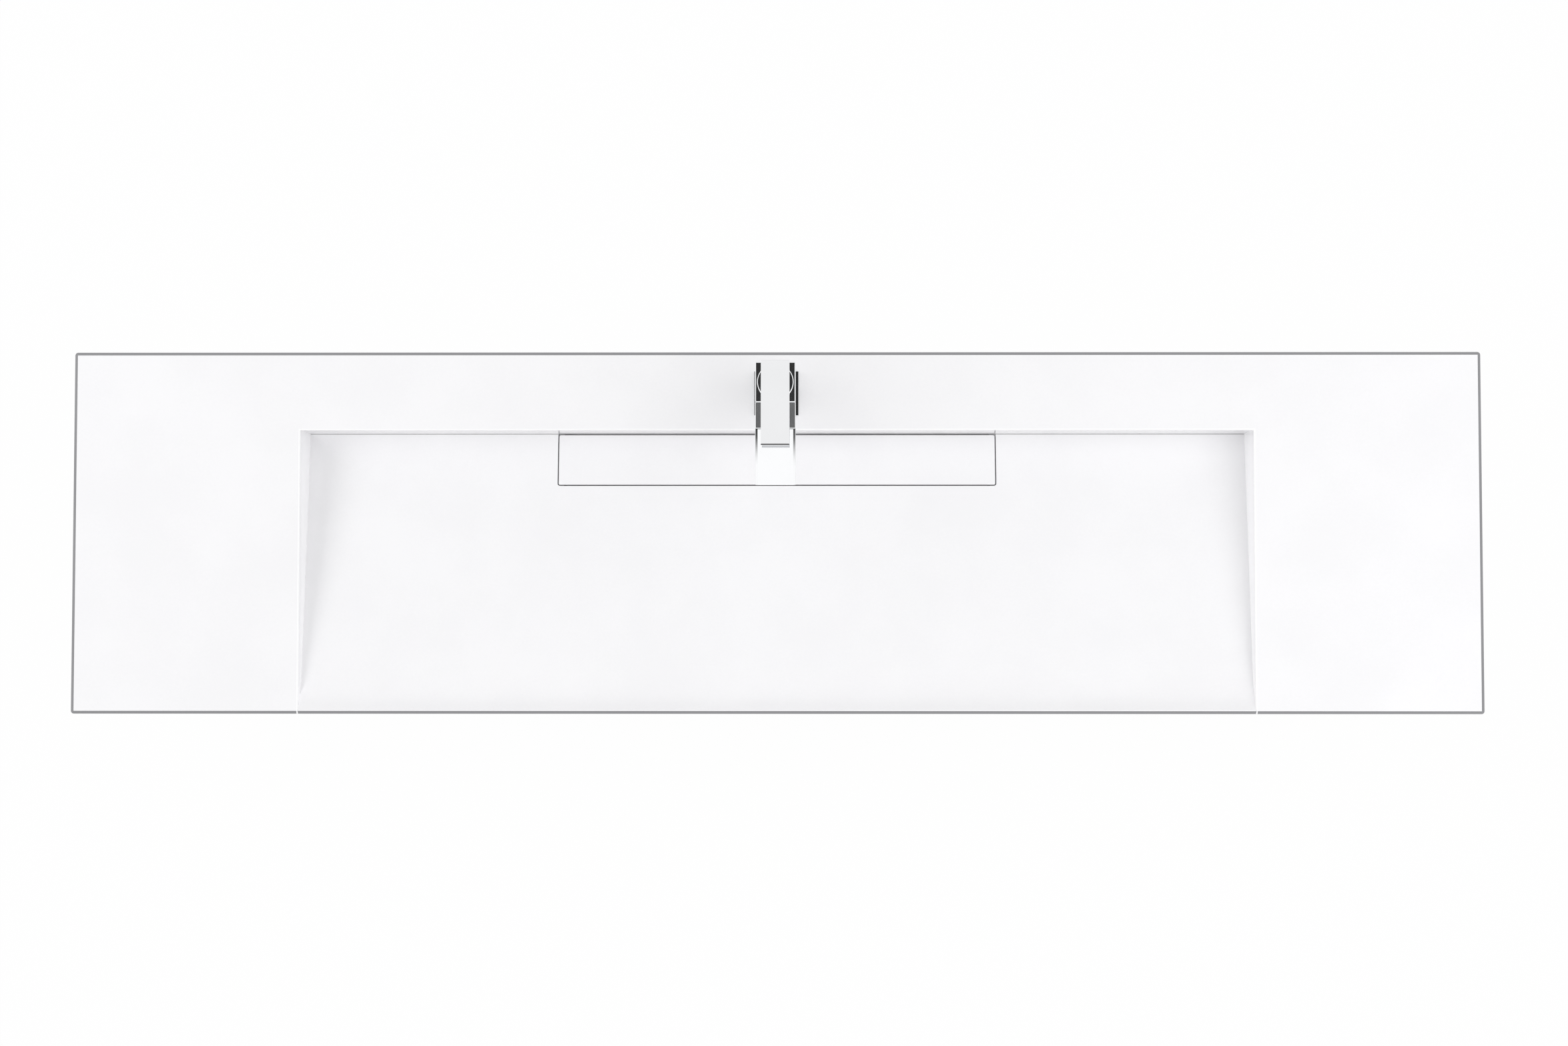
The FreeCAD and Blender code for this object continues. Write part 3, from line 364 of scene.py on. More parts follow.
def polish_group():
    """Haze and hair-fine rubbing marks left by polishing"""
    name = "Polishing marks"
    if name in bpy.data.node_groups:
        return bpy.data.node_groups[name]
    bench, inlet, outlet = new_group(
        name, [(ARROW, "Vector"), (VALUE, "Scale"), (VALUE, "Smooth"), (VALUE, "Dull")],
        [(VALUE, "Roughness"), (VALUE, "Height")])
    haze = bench.noise(inlet["Vector"], inlet["Scale"], detail=4.0, rough=0.6)
    rubbed = []
    for way, fine in ((ALONG_STRETCH, ALONG_FINE), (ACROSS_STRETCH, ACROSS_FINE)):
        hairs = bench.noise(bench.stretch(inlet["Vector"], way), bench.times(inlet["Scale"], fine),
                            detail=3.0, rough=0.65)
        rubbed.append(bench.ramp(hairs, *MARK_RANGE))
    marks = bench.work("MAXIMUM", *rubbed)
    mixed = bench.work("ADD", bench.times(haze, HAZE_SHARE), bench.times(marks, MARK_SHARE))
    bench.feed(outlet["Roughness"], bench.blend(mixed, inlet["Smooth"], inlet["Dull"], *HAZE_RANGE))
    bench.feed(outlet["Height"], bench.work("SUBTRACT", haze, bench.times(marks, MARK_DEPTH)))
    return bench.tree


def turned_group():
    """Fine rings left by drawing or turning, along the piece's own axis"""
    name = "Turned lines"
    if name in bpy.data.node_groups:
        return bpy.data.node_groups[name]
    bench, inlet, outlet = new_group(
        name, [(ARROW, "Vector"), (VALUE, "Pitch"), (VALUE, "Smooth"), (VALUE, "Dull")],
        [(VALUE, "Roughness"), (VALUE, "Height")])
    level = bench.axes(inlet["Vector"])["Z"]
    wobble = bench.times(bench.noise(inlet["Vector"], WOBBLE_FINE), WOBBLE)
    turn = bench.work("ADD", bench.work("DIVIDE", bench.times(level, math.tau), inlet["Pitch"]), wobble)
    rings = bench.work("ADD", bench.times(bench.work("SINE", turn), 0.5), 0.5)
    stain = bench.noise(inlet["Vector"], STAIN_FINE, detail=4.0, rough=0.65)
    mixed = bench.work("ADD", bench.times(rings, RING_SHARE), bench.times(stain, 1.0 - RING_SHARE))
    bench.feed(outlet["Roughness"], bench.blend(mixed, inlet["Smooth"], inlet["Dull"], *RING_RANGE))
    bench.feed(outlet["Height"], rings)
    return bench.tree


def grain_group():
    """Long-grained wood figure that runs along the piece"""
    name = "Wood figure"
    if name in bpy.data.node_groups:
        return bpy.data.node_groups[name]
    bench, inlet, outlet = new_group(
        name, [(ARROW, "Vector"), (VALUE, "Scale"), (TONE, "Pale"), (TONE, "Dark")],
        [(TONE, "Colour"), (VALUE, "Height")])
    drift = bench.noise(inlet["Vector"], bench.times(inlet["Scale"], DRIFT_FINE), detail=3.0)
    shift = bench.put("ShaderNodeCombineXYZ", {"X": bench.times(drift, DRIFT_ACROSS), "Z": drift})
    drifted = bench.put("ShaderNodeVectorMath", {
        0: inlet["Vector"], 1: shift.outputs["Vector"]}, operation="ADD").outputs["Vector"]
    bands = bench.noise(drifted, inlet["Scale"], detail=5.0, rough=0.62)
    pores = bench.noise(inlet["Vector"], bench.times(inlet["Scale"], PORE_FINE), detail=2.0, rough=0.7)
    figure = bench.work("ADD", bench.ramp(bands, *FIGURE_RANGE, high=FIGURE_SHARE),
                        bench.ramp(pores, *PORE_RANGE, high=PORE_SHARE))
    bench.feed(outlet["Colour"], bench.tint(figure, inlet["Pale"], inlet["Dark"]))
    bench.feed(outlet["Height"], figure)
    return bench.tree


# ---------------------------------------------------------------- finishes

def empty_bench(owner):
    """The cleared node tree of a material or a world, ready to build in"""
    owner.use_nodes = True
    owner.node_tree.nodes.clear()
    return Bench(owner.node_tree)


def new_finish(name):
    """An empty material, its bench and its shader"""
    material = bpy.data.materials.new(name)
    bench = empty_bench(material)
    shader = bench.put("ShaderNodeBsdfPrincipled")
    bench.put("ShaderNodeOutputMaterial", {"Surface": shader.outputs["BSDF"]})
    return material, bench, shader.inputs


def arris_shade_mask(bench, place, settings):
    """How far a point lies on the eased edge round the deck, where a grey painted shade goes"""
    axes = bench.axes(place)
    inner_x, inner_y = DECK_HIGH.x - settings.arris_width, DECK_HIGH.y - settings.arris_width
    start = DECK_HIGH.z - settings.arris_height
    side = bench.ramp(bench.work("ABSOLUTE", axes["X"]), inner_x - SOFT / 2, inner_x + SOFT)
    end = bench.ramp(bench.work("ABSOLUTE", axes["Y"]), inner_y - SOFT / 2, inner_y + SOFT)
    return bench.times(bench.work("MAXIMUM", side, end),
                       bench.ramp(axes["Z"], start - SOFT, start + SOFT))


def rim_highlight_mask(bench, place, settings):
    """How far a point lies on the basin's rounded edge, where a painted highlight goes"""
    axes = bench.axes(place)
    outer_x, outer_y = RAMP_HIGH.x + settings.rim_width, RAMP_HIGH.y + settings.rim_width
    start, full = DECK_HIGH.z - settings.rim_width, DECK_HIGH.z - settings.rim_width / 2
    return bench.times(bench.fall(bench.work("ABSOLUTE", axes["X"]), outer_x, outer_x + SOFT),
                       bench.fall(axes["Y"], outer_y, outer_y + SOFT),
                       bench.ramp(axes["Z"], start, full))


def joint_shade_mask(bench, place, settings):
    """How far a point lies on the hairline at the ramp's back edge: a bonded seam darkened with painted
    crease shade
    """
    start, full = RAMP_HIGH.y - settings.joint_width, RAMP_HIGH.y - settings.joint_width / 2
    return bench.ramp(bench.axes(place)["Y"], start, full)


def sheet_finish(name, settings, arris_shade=False, rim_highlight=False, joint=False):
    """Polished white sheet, sanded underneath, with painted shade on an eased edge, a painted highlight on
    the basin's rounded edge, or a hairline seam with painted crease shade
    """
    material, bench, shader = new_finish(name)
    place = bench.coords()
    tone = bench.group(cloud_group(), Vector=place, Scale=9.0, Pale=rgba(settings.pale),
                       Deep=rgba(settings.deep))["Colour"]
    # Painted shade: grey on the eased edge
    if arris_shade:
        tone = bench.tint(arris_shade_mask(bench, place, settings), tone, rgba(settings.arris_shade))
    # Painted highlight along the basin's rounded edge
    if rim_highlight:
        tone = bench.tint(rim_highlight_mask(bench, place, settings), tone, rgba(settings.rim_highlight))
    # The seam at the ramp's back edge, darkened with painted crease shade
    if joint:
        tone = bench.tint(joint_shade_mask(bench, place, settings), tone, rgba(settings.joint))
    smooth, dull = (settings.polished * part for part in SHEET_SPREAD)
    marks = bench.group(polish_group(), Vector=place, Scale=14.0, Smooth=smooth, Dull=dull)
    under = bench.fall(bench.facing()["Z"], start=-0.35, end=-0.25)
    bench.feed(shader["Base Color"], tone)
    bench.feed(shader["Roughness"], bench.blend(under, marks["Roughness"], settings.sanded))
    bench.feed(shader["Normal"], bench.bump(marks["Height"], strength=0.05, distance=0.0002))
    return material


def throat_mask(bench, place, settings):
    """How far a point lies in the spout's water chamber, under its lid"""
    axes = bench.axes(place)
    cheek = SPOUT_HIGH.x - settings.spout_wall
    floor = SPOUT_HIGH.z - settings.chamber
    return bench.times(
        bench.fall(bench.work("ABSOLUTE", axes["X"]), cheek + SKIN, cheek + 2 * SKIN),
        bench.ramp(axes["Y"], LID_LOW.y, LID_LOW.y + MOUTH),
        bench.fall(axes["Y"], SPOUT_HIGH.y + SKIN, SPOUT_HIGH.y + 2 * SKIN),
        bench.ramp(axes["Z"], floor - 2 * SKIN, floor - SKIN),
        bench.fall(axes["Z"], SPOUT_HIGH.z + SKIN / 2, SPOUT_HIGH.z + SKIN))


def chrome_finish(name, settings, throat=False):
    """Bright plating with faint polishing marks, left as a dull casting in the spout's throat"""
    material, bench, shader = new_finish(name)
    place = bench.coords()
    tone = bench.group(cloud_group(), Vector=place, Scale=30.0, Pale=rgba(settings.chrome),
                       Deep=rgba(darker(settings.chrome, 0.985)))["Colour"]
    smooth, dull = (settings.plating * part for part in CHROME_SPREAD)
    rough = bench.group(polish_group(), Vector=place, Scale=45.0, Smooth=smooth, Dull=dull)["Roughness"]
    if throat:
        inside = throat_mask(bench, place, settings)
        tone = bench.tint(inside, tone, rgba(settings.casting))
        rough = bench.ramp(inside, 0.0, 1.0, rough, settings.cast)
        bench.feed(shader["Metallic"], bench.work("SUBTRACT", 1.0, inside))
    else:
        shader["Metallic"].default_value = 1.0
    bench.feed(shader["Base Color"], tone)
    bench.feed(shader["Roughness"], rough)
    return material


def turned_finish(name, tone, rough, settings):
    """Drawn or turned metal with fine rings"""
    material, bench, shader = new_finish(name)
    place = bench.coords()
    cloud = bench.group(cloud_group(), Vector=place, Scale=90.0, Pale=rgba(tone),
                        Deep=rgba(darker(tone, 0.92)))
    smooth, dull = (rough * part for part in TURNED_SPREAD)
    lines = bench.group(turned_group(), Vector=place, Pitch=settings.line_pitch, Smooth=smooth, Dull=dull)
    shader["Metallic"].default_value = 1.0
    bench.feed(shader["Base Color"], cloud["Colour"])
    bench.feed(shader["Roughness"], lines["Roughness"])
    bench.feed(shader["Normal"], bench.bump(lines["Height"], strength=0.15, distance=0.00005))
    return material


def plain_finish(name, pale, deep, scale, smooth, dull, relief):
    """A moulded or cast material with faint clouding and a fine surface"""
    material, bench, shader = new_finish(name)
    place = bench.coords()
    cloud = bench.group(cloud_group(), Vector=place, Scale=scale, Pale=rgba(pale), Deep=rgba(deep))
    marks = bench.group(polish_group(), Vector=place, Scale=scale * 2.0, Smooth=smooth, Dull=dull)
    bench.feed(shader["Base Color"], cloud["Colour"])
    bench.feed(shader["Roughness"], marks["Roughness"])
    bench.feed(shader["Normal"], bench.bump(cloud["Cloud"], strength=relief, distance=0.0003))
    return material


def plywood_finish(name, settings):
    """Birch plywood: figure on the faces, veneers on the edges"""
    material, bench, shader = new_finish(name)
    place = bench.coords()
    figure = bench.group(grain_group(), Vector=bench.stretch(place, (1.0, 0.06, 1.0)), Scale=140.0,
                         Pale=rgba(settings.veneer), Dark=rgba(settings.grain))
    layers = bench.work("SINE", bench.times(bench.axes(place)["X"], math.pi / settings.ply))
    edge = bench.tint(bench.ramp(layers, start=-0.25, end=0.25), rgba(settings.veneer),
                      rgba(darker(settings.veneer, 0.55)))
    speck = bench.noise(bench.stretch(place, (1.0, 0.5, 0.5)), scale=700.0, detail=2.0, rough=0.7)
    edge = bench.tint(bench.ramp(speck, start=0.45, end=0.8, high=0.5), edge, rgba(settings.grain))
    on_edge = bench.fall(bench.work("ABSOLUTE", bench.facing()["X"]), start=0.45, end=0.55)
    bench.feed(shader["Base Color"], bench.tint(on_edge, figure["Colour"], edge))
    bench.feed(shader["Roughness"], bench.ramp(speck, start=0.3, end=0.7, low=0.52, high=0.72))
    bench.feed(shader["Normal"], bench.bump(figure["Height"], strength=0.25, distance=0.0003))
    return material


def pine_finish(name, settings):
    """Sawn pine with open figure"""
    material, bench, shader = new_finish(name)
    place = bench.coords()
    figure = bench.group(grain_group(), Vector=bench.stretch(place, (0.1, 1.0, 1.0)), Scale=170.0,
                         Pale=rgba(settings.pine), Dark=rgba(settings.grain))
    sawn = bench.noise(bench.stretch(place, (0.15, 1.0, 1.0)), scale=900.0, detail=2.0, rough=0.7)
    bench.feed(shader["Base Color"], figure["Colour"])
    bench.feed(shader["Roughness"], bench.ramp(sawn, start=0.3, end=0.7, low=0.6, high=0.8))
    bench.feed(shader["Normal"], bench.bump(sawn, strength=0.3, distance=0.0004))
    return material


def dress(slot, material, only=()):
    """Puts a finish on the nodes that still have a slot's own material, or on those of them in only"""
    done = 0
    for name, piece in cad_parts.items():
        if only and name not in only:
            continue
        for place in piece.material_slots:
            if place.material and place.material.name.split(".")[0] == slot:
                place.material = material
                done += 1
    if not done:
        raise RuntimeError(f"no node takes the finish {material.name}")


class VANITY_OT_sheet(Operator):
    """Finish the deck, aprons, basin, trough and cover as polished white sheet"""
    bl_idname = "vanity.sheet"
    bl_label = "Finish the sheet"

    def execute(self, context):
        settings = context.scene.vanity_sheet
        # The deck gets painted shade on its eased edge and a painted highlight on the basin's rounded edge;
        # the ramp gets painted shade on its eased front edge and painted crease shade at its back seam
        dress("solid_surface", sheet_finish("deck sheet", settings, arris_shade=True, rim_highlight=True),
              only=("deck_panel",))
        dress("solid_surface", sheet_finish("ramp sheet", settings, arris_shade=True, joint=True),
              only=("basin_ramp",))
        dress("solid_surface", sheet_finish("bonded sheet", settings))
        dress("cover_surface", sheet_finish("cover sheet", settings))
        return {"FINISHED"}


class VANITY_OT_metals(Operator):
    """Finish the faucet and drain in chrome, and the fittings in steel and brass"""
    bl_idname = "vanity.metals"
    bl_label = "Finish the metals"

    def execute(self, context):
        settings = context.scene.vanity_metals
        dress("chrome", chrome_finish("spout chrome", settings, throat=True),
              only=("faucet_body", "faucet_spout", "spout_lid"))
        dress("chrome", chrome_finish("polished chrome", settings))
        dress("steel", turned_finish("drawn steel", settings.steel, settings.drawn, settings))
        dress("brass", turned_finish("turned brass", settings.brass, settings.drawn, settings))
        return {"FINISHED"}


class VANITY_OT_timber(Operator):
    """Finish the ribs as plywood and the blocks as pine"""
    bl_idname = "vanity.timber"
    bl_label = "Finish the timber"

    def execute(self, context):
        settings = context.scene.vanity_timber
        dress("timber", pine_finish("sawn pine", settings), only=("corner_blocks",))
        dress("timber", plywood_finish("birch plywood", settings))
        return {"FINISHED"}


class VANITY_OT_seals(Operator):
    """Finish the gaskets, moulded pieces and valve discs"""
    bl_idname = "vanity.seals"
    bl_label = "Finish the seals"

    def execute(self, context):
        settings = context.scene.vanity_seals
        for slot, name, tone, smooth, dull, relief in (
                ("rubber", "moulded rubber", settings.rubber, 0.55, 0.8, 0.25),
                ("plastic", "moulded acetal", settings.acetal, 0.30, 0.48, 0.08),
                ("ceramic", "lapped ceramic", settings.ceramic, 0.12, 0.28, 0.04)):
            deep = darker(tone, 0.86)
            dress(slot, plain_finish(name, tone, deep, scale=60.0, smooth=smooth, dull=dull, relief=relief))
        return {"FINISHED"}


# ---------------------------------------------------------------- pieces

def new_piece(name, bm, material, body):
    """A mesh piece that rides on a body and takes its finish from a slot"""
    bmesh.ops.recalc_face_normals(bm, faces=bm.faces)
    mesh = bpy.data.meshes.new(name)
    bm.to_mesh(mesh)
    bm.free()
    mesh.materials.append(material)
    piece = bpy.data.objects.new(name, mesh)
    bpy.context.scene.collection.objects.link(piece)
    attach(piece, body)
    return piece


def sweep(bm, rings):
    """Joins rings of points into one closed skin with smooth sides"""
    loops = [[bm.verts.new(point) for point in ring] for ring in rings]
    for one, two in zip(loops, loops[1:]):
        for here in range(len(one)):
            there = (here + 1) % len(one)
            bm.faces.new((one[here], one[there], two[there], two[here])).smooth = True
    bm.faces.new(loops[0][::-1])
    bm.faces.new(loops[-1])


def lay_bead(bm, start, end, out, down, settings, number):
    """One bead of adhesive in a corner, from start to end, that swells and narrows"""
    start, end, out, down = Vector(start), Vector(end), Vector(out), Vector(down)
    run = (end - start).length
    count = max(4, int(run / settings.step))
    rings = []
    for place in range(count + 1):
        along = place / count
        gone = along * run
        wave = math.sin(gone * LONG_WAVE + number)
        wave += SHORT_SHARE * math.sin(gone * SHORT_WAVE + SHORT_PHASE * number)
        size = settings.leg * (1.0 + settings.wander * wave / (1.0 + SHORT_SHARE))
        size *= min(1.0, BEAD_END + min(along, 1.0 - along) * run / (BEAD_TAPER * settings.leg))
        corner = start.lerp(end, along)
        skew = 1.0 + SKEW_SHARE * math.sin(gone * SKEW_WAVE + SKEW_PHASE * number)
        ring = [corner - (out + down) * BEAD_SINK]
        for turn in range(BEAD_FACES + 1):
            angle = math.radians(90.0 * turn / BEAD_FACES)
            ring.append(corner + out * size * skew * math.cos(angle) + down * size * math.sin(angle))
        rings.append(ring)
    sweep(bm, rings)


def deck_runs():
    """The corners under the deck: those of the sheet, then those along the timber"""
    under, front, back = DECK_LOW.z, -BACK_LOW.y, BACK_LOW.y
    to_back, to_front = (0.0, 1.0, 0.0), (0.0, -1.0, 0.0)
    seams, props = [], []
    for hand in (-1.0, 1.0):
        end, wall = hand * -SIDE_HIGH.x, hand * -WALL_LOW.x
        rib_out, rib_in = hand * -RIB_LOW.x, hand * -RIB_HIGH.x
        outward, inward = (hand, 0.0, 0.0), (-hand, 0.0, 0.0)
        seams += [
            ((end, front, under), (end, back, under), inward, DOWN),
            ((wall, front, under), (wall, REAR_HIGH.y, under), outward, DOWN),
            ((end, front, under), (rib_out, front, under), to_back, DOWN),
            ((end, back, under), (rib_out, back, under), to_front, DOWN),
            ((rib_in, front, under), (wall, front, under), to_back, DOWN),
        ]
        props += [
            ((rib_out, front, under), (rib_out, back, under), outward, DOWN),
            ((rib_in, front, under), (rib_in, back, under), inward, DOWN),
        ]
    seams.append(((RIB_HIGH.x, back, under), (-RIB_HIGH.x, back, under), to_front, DOWN))
    seams.append(((REAR_LOW.x, REAR_HIGH.y, under), (REAR_HIGH.x, REAR_HIGH.y, under), to_back, DOWN))
    return seams, props


def ramp_runs():
    """The corners under the ramp: those of the sheet, then those along the timber"""
    rise = (TROUGH_HIGH.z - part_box("trough_left_end")[1].z) / (TROUGH_LOW.y - TROUGH_HIGH.y)

    def under(y):
        return TROUGH_HIGH.z + (y - TROUGH_LOW.y) * rise

    front, cove, face, wall = -BACK_LOW.y, WALL_LOW.y + COVE_RUN, TROUGH_LOW.y, REAR_LOW.y
    up_ramp = Vector((0.0, -1.0, -rise)).normalized()
    down_cove = Vector((0.0, COVE_RUN, under(cove) - PROP_HIGH.z)).normalized()
    seams, props = [], []
    for hand in (-1.0, 1.0):
        end, edge, outward = hand * TROUGH_HIGH.x, hand * RAMP_HIGH.x, (hand, 0.0, 0.0)
        rib_out, rib_in, keel = hand * -PROP_LOW.x, hand * -PROP_HIGH.x, hand * KEEL_HIGH.x
        seams += [
            ((rib_in, face, under(face)), (keel, face, under(face)), up_ramp, DOWN),
            ((end, wall, under(wall)), (edge, wall, under(wall)), up_ramp, DOWN),
            ((end, face, under(face)), (end, wall, under(wall)), outward, DOWN),
            ((end, wall, TROUGH_LOW.z), (end, wall, under(wall)), outward, (0.0, -1.0, 0.0)),
            ((rib_out, front, PROP_HIGH.z), (edge, front, PROP_HIGH.z), down_cove, DOWN),
            ((rib_in, front, PROP_HIGH.z), (keel, front, PROP_HIGH.z), down_cove, DOWN),
        ]
        for x, way in ((rib_out, outward), (rib_in, (-hand, 0.0, 0.0)), (keel, outward)):
            props.append(((x, cove, under(cove)), (x, face, under(face)), way, DOWN))
    return seams, props


class VANITY_OT_beads(Operator):
    """Lay beads of adhesive in the corners under the sheet and along the timber"""
    bl_idname = "vanity.beads"
    bl_label = "Lay the beads"

    def execute(self, context):
        settings = context.scene.vanity_beads
        seams, props = (one + two for one, two in zip(deck_runs(), ramp_runs()))
        for name, runs, tone, dull, slot in (
                ("seam_beads", seams, settings.seam, 0.42, "solid_surface"),
                ("timber_beads", props, settings.tack, 0.65, "timber")):
            bm = bmesh.new()
            for number, (start, end, out, down) in enumerate(runs):
                lay_bead(bm, start, end, out, down, settings, number)
            finish = plain_finish(name.replace("_", " "), tone, darker(tone, 0.85), scale=70.0,
                                  smooth=dull * 0.68, dull=dull, relief=0.25)
            new_piece(name, bm, finish, "top")
        return {"FINISHED"}


def cut_thread(bm, middle, radius, pitch, depth, low, high, facets):
    """One helical ridge round an upright shank, tapered off at both ends"""
    half = RIDGE_HALF * pitch
    turns = (high - low - 2.0 * half) / pitch
    count = int(turns * facets)
    foot = -RIDGE_SINK * depth
    rings = []
    for place in range(count + 1):
        angle = math.tau * place / facets
        level = low + half + pitch * place / facets
        fade = min(1.0, min(place, count - place) / (RIDGE_FADE * facets))
        ring = []
        for reach, lift in ((foot, -half), (depth * fade, 0.0), (foot, half)):
            ring.append(Vector((middle.x + (radius + reach) * math.cos(angle),
                                middle.y + (radius + reach) * math.sin(angle), level + lift)))
        rings.append(ring)
    sweep(bm, rings)


class VANITY_OT_threads(Operator):
    """Cut the threads on the faucet's stud and the drain's shank"""
    bl_idname = "vanity.threads"
    bl_label = "Cut the threads"

    def execute(self, context):
        settings = context.scene.vanity_threads
        stud = bmesh.new()
        middle = (STUD_LOW + STUD_HIGH) / 2
        cut_thread(stud, middle, (STUD_HIGH.x - STUD_LOW.x) / 2, settings.stud_pitch, settings.stud_depth,
                   STUD_LOW.z + settings.stud_pitch, NUT_LOW.z, settings.facets)
        new_piece("stud_thread", stud, bpy.data.materials["drawn steel"], "top")
        shank = bmesh.new()
        middle = (DRAIN_LOW + DRAIN_HIGH) / 2
        cut_thread(shank, middle, settings.shank_radius, settings.shank_pitch, settings.shank_depth,
                   DRAIN_LOW.z + settings.shank_pitch / 2, LOCK_LOW.z, settings.facets * 2)
        new_piece("shank_thread", shank, bpy.data.materials["polished chrome"], "top")
        return {"FINISHED"}


# ---------------------------------------------------------------- stage

def floor_finish(settings):
    """Pale floor that shows as plain white, keeps a faint shadow and isn't seen from below"""
    material = bpy.data.materials.new("studio floor")
    bench = empty_bench(material)
    rays = bench.put("ShaderNodeLightPath").outputs
    seen = bench.work("MAXIMUM", rays["Is Camera Ray"],
                      bench.work("MAXIMUM", rays["Is Glossy Ray"], rays["Is Transmission Ray"]))
    cloud = bench.group(cloud_group(), Vector=bench.coords(), Scale=1.5, Pale=rgba(settings.floor),
                        Deep=rgba(darker(settings.floor, 0.99)))
    matte = bench.put("ShaderNodeBsdfPrincipled", {
        "Base Color": cloud["Colour"], "Roughness": 1.0, "Specular IOR Level": 0.0})
    glow = bench.put("ShaderNodeEmission", {"Color": WHITE, "Strength": 1.0})
    joined = bench.put("ShaderNodeMixShader", {
        0: bench.times(seen, settings.floor_glow), 1: matte.outputs[0], 2: glow.outputs[0]})
    clear = bench.put("ShaderNodeBsdfTransparent")
    below = bench.put("ShaderNodeNewGeometry").outputs["Backfacing"]
    sided = bench.put("ShaderNodeMixShader", {0: below, 1: joined.outputs[0], 2: clear.outputs[0]})
    bench.put("ShaderNodeOutputMaterial", {"Surface": sided.outputs[0]})
    return material


def studio_sky(settings):
    """White studio: dark and grey flags overhead and in front, and a dimmer band round the walls"""
    world = bpy.data.worlds.new("studio sky")
    bench = empty_bench(world)
    way = bench.axes(bench.put("ShaderNodeTexCoord").outputs["Generated"])
    rise = bench.work("MAXIMUM", way["Z"], LOWEST_RISE)
    back = bench.work("DIVIDE", way["Y"], rise)
    side = bench.work("ABSOLUTE", bench.work("DIVIDE", way["X"], rise))
    inside = bench.fall(side, *FLAG_SIDE)
    dark = bench.times(bench.window(back, DARK_FLAG), inside, DARK_SHARE)
    grey = bench.times(bench.window(back, GREY_FLAG), inside, GREY_SHARE)
    front = bench.times(bench.window(back, FRONT_FLAG), bench.ramp(side, *FRONT_SIDE, FRONT_SHARE, 0.0))
    band = bench.times(bench.window(way["Z"], WALL_BAND), BAND_SHARE)
    shown = bench.ramp(way["Z"], *CROWN, *CROWN_LIGHT)
    for flag in (band, dark, grey, front):
        shown = bench.times(shown, bench.work("SUBTRACT", 1.0, flag))
    even = bench.work("ADD", bench.times(way["X"], way["X"], settings.side_glow), settings.fill)
    rays = bench.put("ShaderNodeLightPath").outputs
    lit = bench.blend(rays["Is Glossy Ray"], even, shown)
    plain = bench.work("MAXIMUM", rays["Is Camera Ray"], rays["Is Transmission Ray"])
    sky = bench.put("ShaderNodeBackground", {"Color": WHITE, "Strength": bench.blend(plain, lit, 1.0)})
    bench.put("ShaderNodeOutputWorld", {"Surface": sky.outputs[0]})
    return world


def soft_lamp(name, power, width, height, hung, target):
    """A wide soft lamp that looks at a point"""
    light = bpy.data.lights.new(name, "AREA")
    light.shape, light.size, light.size_y, light.energy = "RECTANGLE", width, height, power
    lamp = bpy.data.objects.new(name, light)
    lamp.location = hung
    lamp.rotation_euler = (Vector(target) - Vector(hung)).to_track_quat("-Z", "Y").to_euler()
    bpy.context.scene.collection.objects.link(lamp)
    return lamp


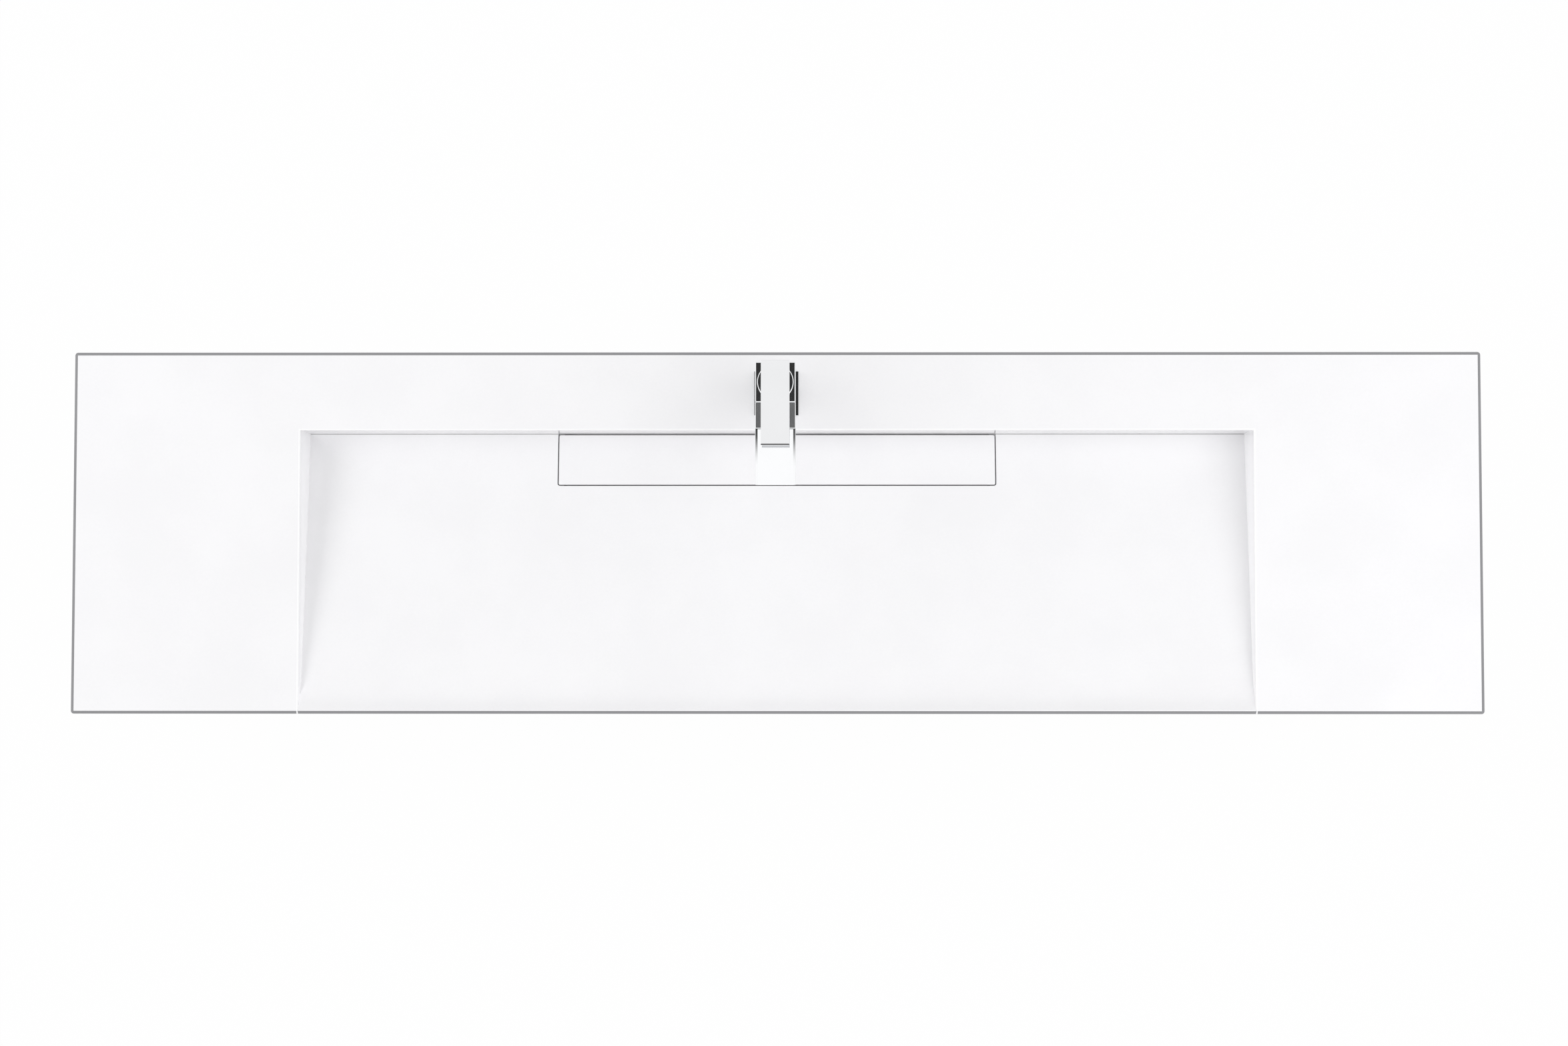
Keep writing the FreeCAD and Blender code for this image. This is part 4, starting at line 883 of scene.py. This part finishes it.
class VANITY_OT_stage(Operator):
    """Set up the floor, the lamps, the sky and the camera"""
    bl_idname = "vanity.stage"
    bl_label = "Set up the stage"

    def execute(self, context):
        settings = context.scene.vanity_stage
        scene = context.scene
        level = cad_box[0].z - settings.floor_drop
        bm = bmesh.new()
        bmesh.ops.create_grid(bm, x_segments=8, y_segments=8, size=settings.floor_size / 2)
        mesh = bpy.data.meshes.new("studio_floor")
        bm.to_mesh(mesh)
        bm.free()
        mesh.materials.append(floor_finish(settings))
        floor = bpy.data.objects.new("studio_floor", mesh)
        floor.location.z = level
        scene.collection.objects.link(floor)
        left = soft_lamp("left_lamp", settings.left_power, settings.left_width, settings.left_height,
                         settings.left_place, (-settings.lamp_reach, 0.0, DECK_LOW.z))
        right = soft_lamp("right_lamp", settings.right_power, settings.right_width, settings.right_height,
                          settings.right_place, (settings.lamp_reach, 0.0, DECK_LOW.z))
        blockers = bpy.data.collections.new("lamp_blockers")
        for name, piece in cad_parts.items():
            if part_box(name)[0].z < DECK_LOW.z and name not in ("basin_back_wall", "back_apron"):
                blockers.objects.link(piece)
        blockers.objects.link(floor)
        basin = soft_lamp("basin_lamp", settings.basin_power, settings.basin_width, settings.basin_width,
                          settings.basin_place, (*settings.basin_place[:2], DECK_LOW.z))
        walls = bpy.data.collections.new("basin_walls")
        for name in ("basin_left_wall", "basin_right_wall"):
            walls.objects.link(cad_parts[name])
        basin.light_linking.receiver_collection = walls
        for lamp in (left, right, basin):
            lamp.light_linking.blocker_collection = blockers
            lamp.visible_glossy = lamp.visible_camera = False
        scene.world = studio_sky(settings)
        camera = bpy.data.objects.new("camera", bpy.data.cameras.new("camera"))
        camera.location = settings.camera
        camera.rotation_euler = settings.aim
        camera.data.lens = settings.lens
        camera.data.sensor_width = FILM_WIDTH
        scene.collection.objects.link(camera)
        scene.camera = camera
        scene.view_settings.view_transform = "Standard"
        return {"FINISHED"}


class VANITY_PT_panel(Panel):
    """The vanity top's steps and their settings"""
    bl_idname = "VANITY_PT_panel"
    bl_label = "Vanity top"
    bl_space_type = "VIEW_3D"
    bl_region_type = "UI"
    bl_category = "Vanity"

    def draw(self, context):
        for step, group, _ in STEPS:
            box = self.layout.box()
            box.operator(step.bl_idname)
            settings = getattr(context.scene, group)
            for key in settings.__annotations__:
                box.prop(settings, key)


STEPS = (
    (VANITY_OT_sheet, "vanity_sheet", VANITY_PG_sheet),
    (VANITY_OT_metals, "vanity_metals", VANITY_PG_metals),
    (VANITY_OT_timber, "vanity_timber", VANITY_PG_timber),
    (VANITY_OT_seals, "vanity_seals", VANITY_PG_seals),
    (VANITY_OT_beads, "vanity_beads", VANITY_PG_beads),
    (VANITY_OT_threads, "vanity_threads", VANITY_PG_threads),
    (VANITY_OT_stage, "vanity_stage", VANITY_PG_stage),
)


def register():
    for step, group, settings in STEPS:
        bpy.utils.register_class(settings)
        bpy.utils.register_class(step)
        setattr(bpy.types.Scene, group, PointerProperty(type=settings))
    bpy.utils.register_class(VANITY_PT_panel)


def unregister():
    bpy.utils.unregister_class(VANITY_PT_panel)
    for step, group, settings in reversed(STEPS):
        delattr(bpy.types.Scene, group)
        bpy.utils.unregister_class(step)
        bpy.utils.unregister_class(settings)


def main():
    register()
    bpy.ops.vanity.sheet()
    bpy.ops.vanity.metals()
    bpy.ops.vanity.timber()
    bpy.ops.vanity.seals()
    bpy.ops.vanity.beads()
    bpy.ops.vanity.threads()
    bpy.ops.vanity.stage()


if __name__ == "__main__":
    main()
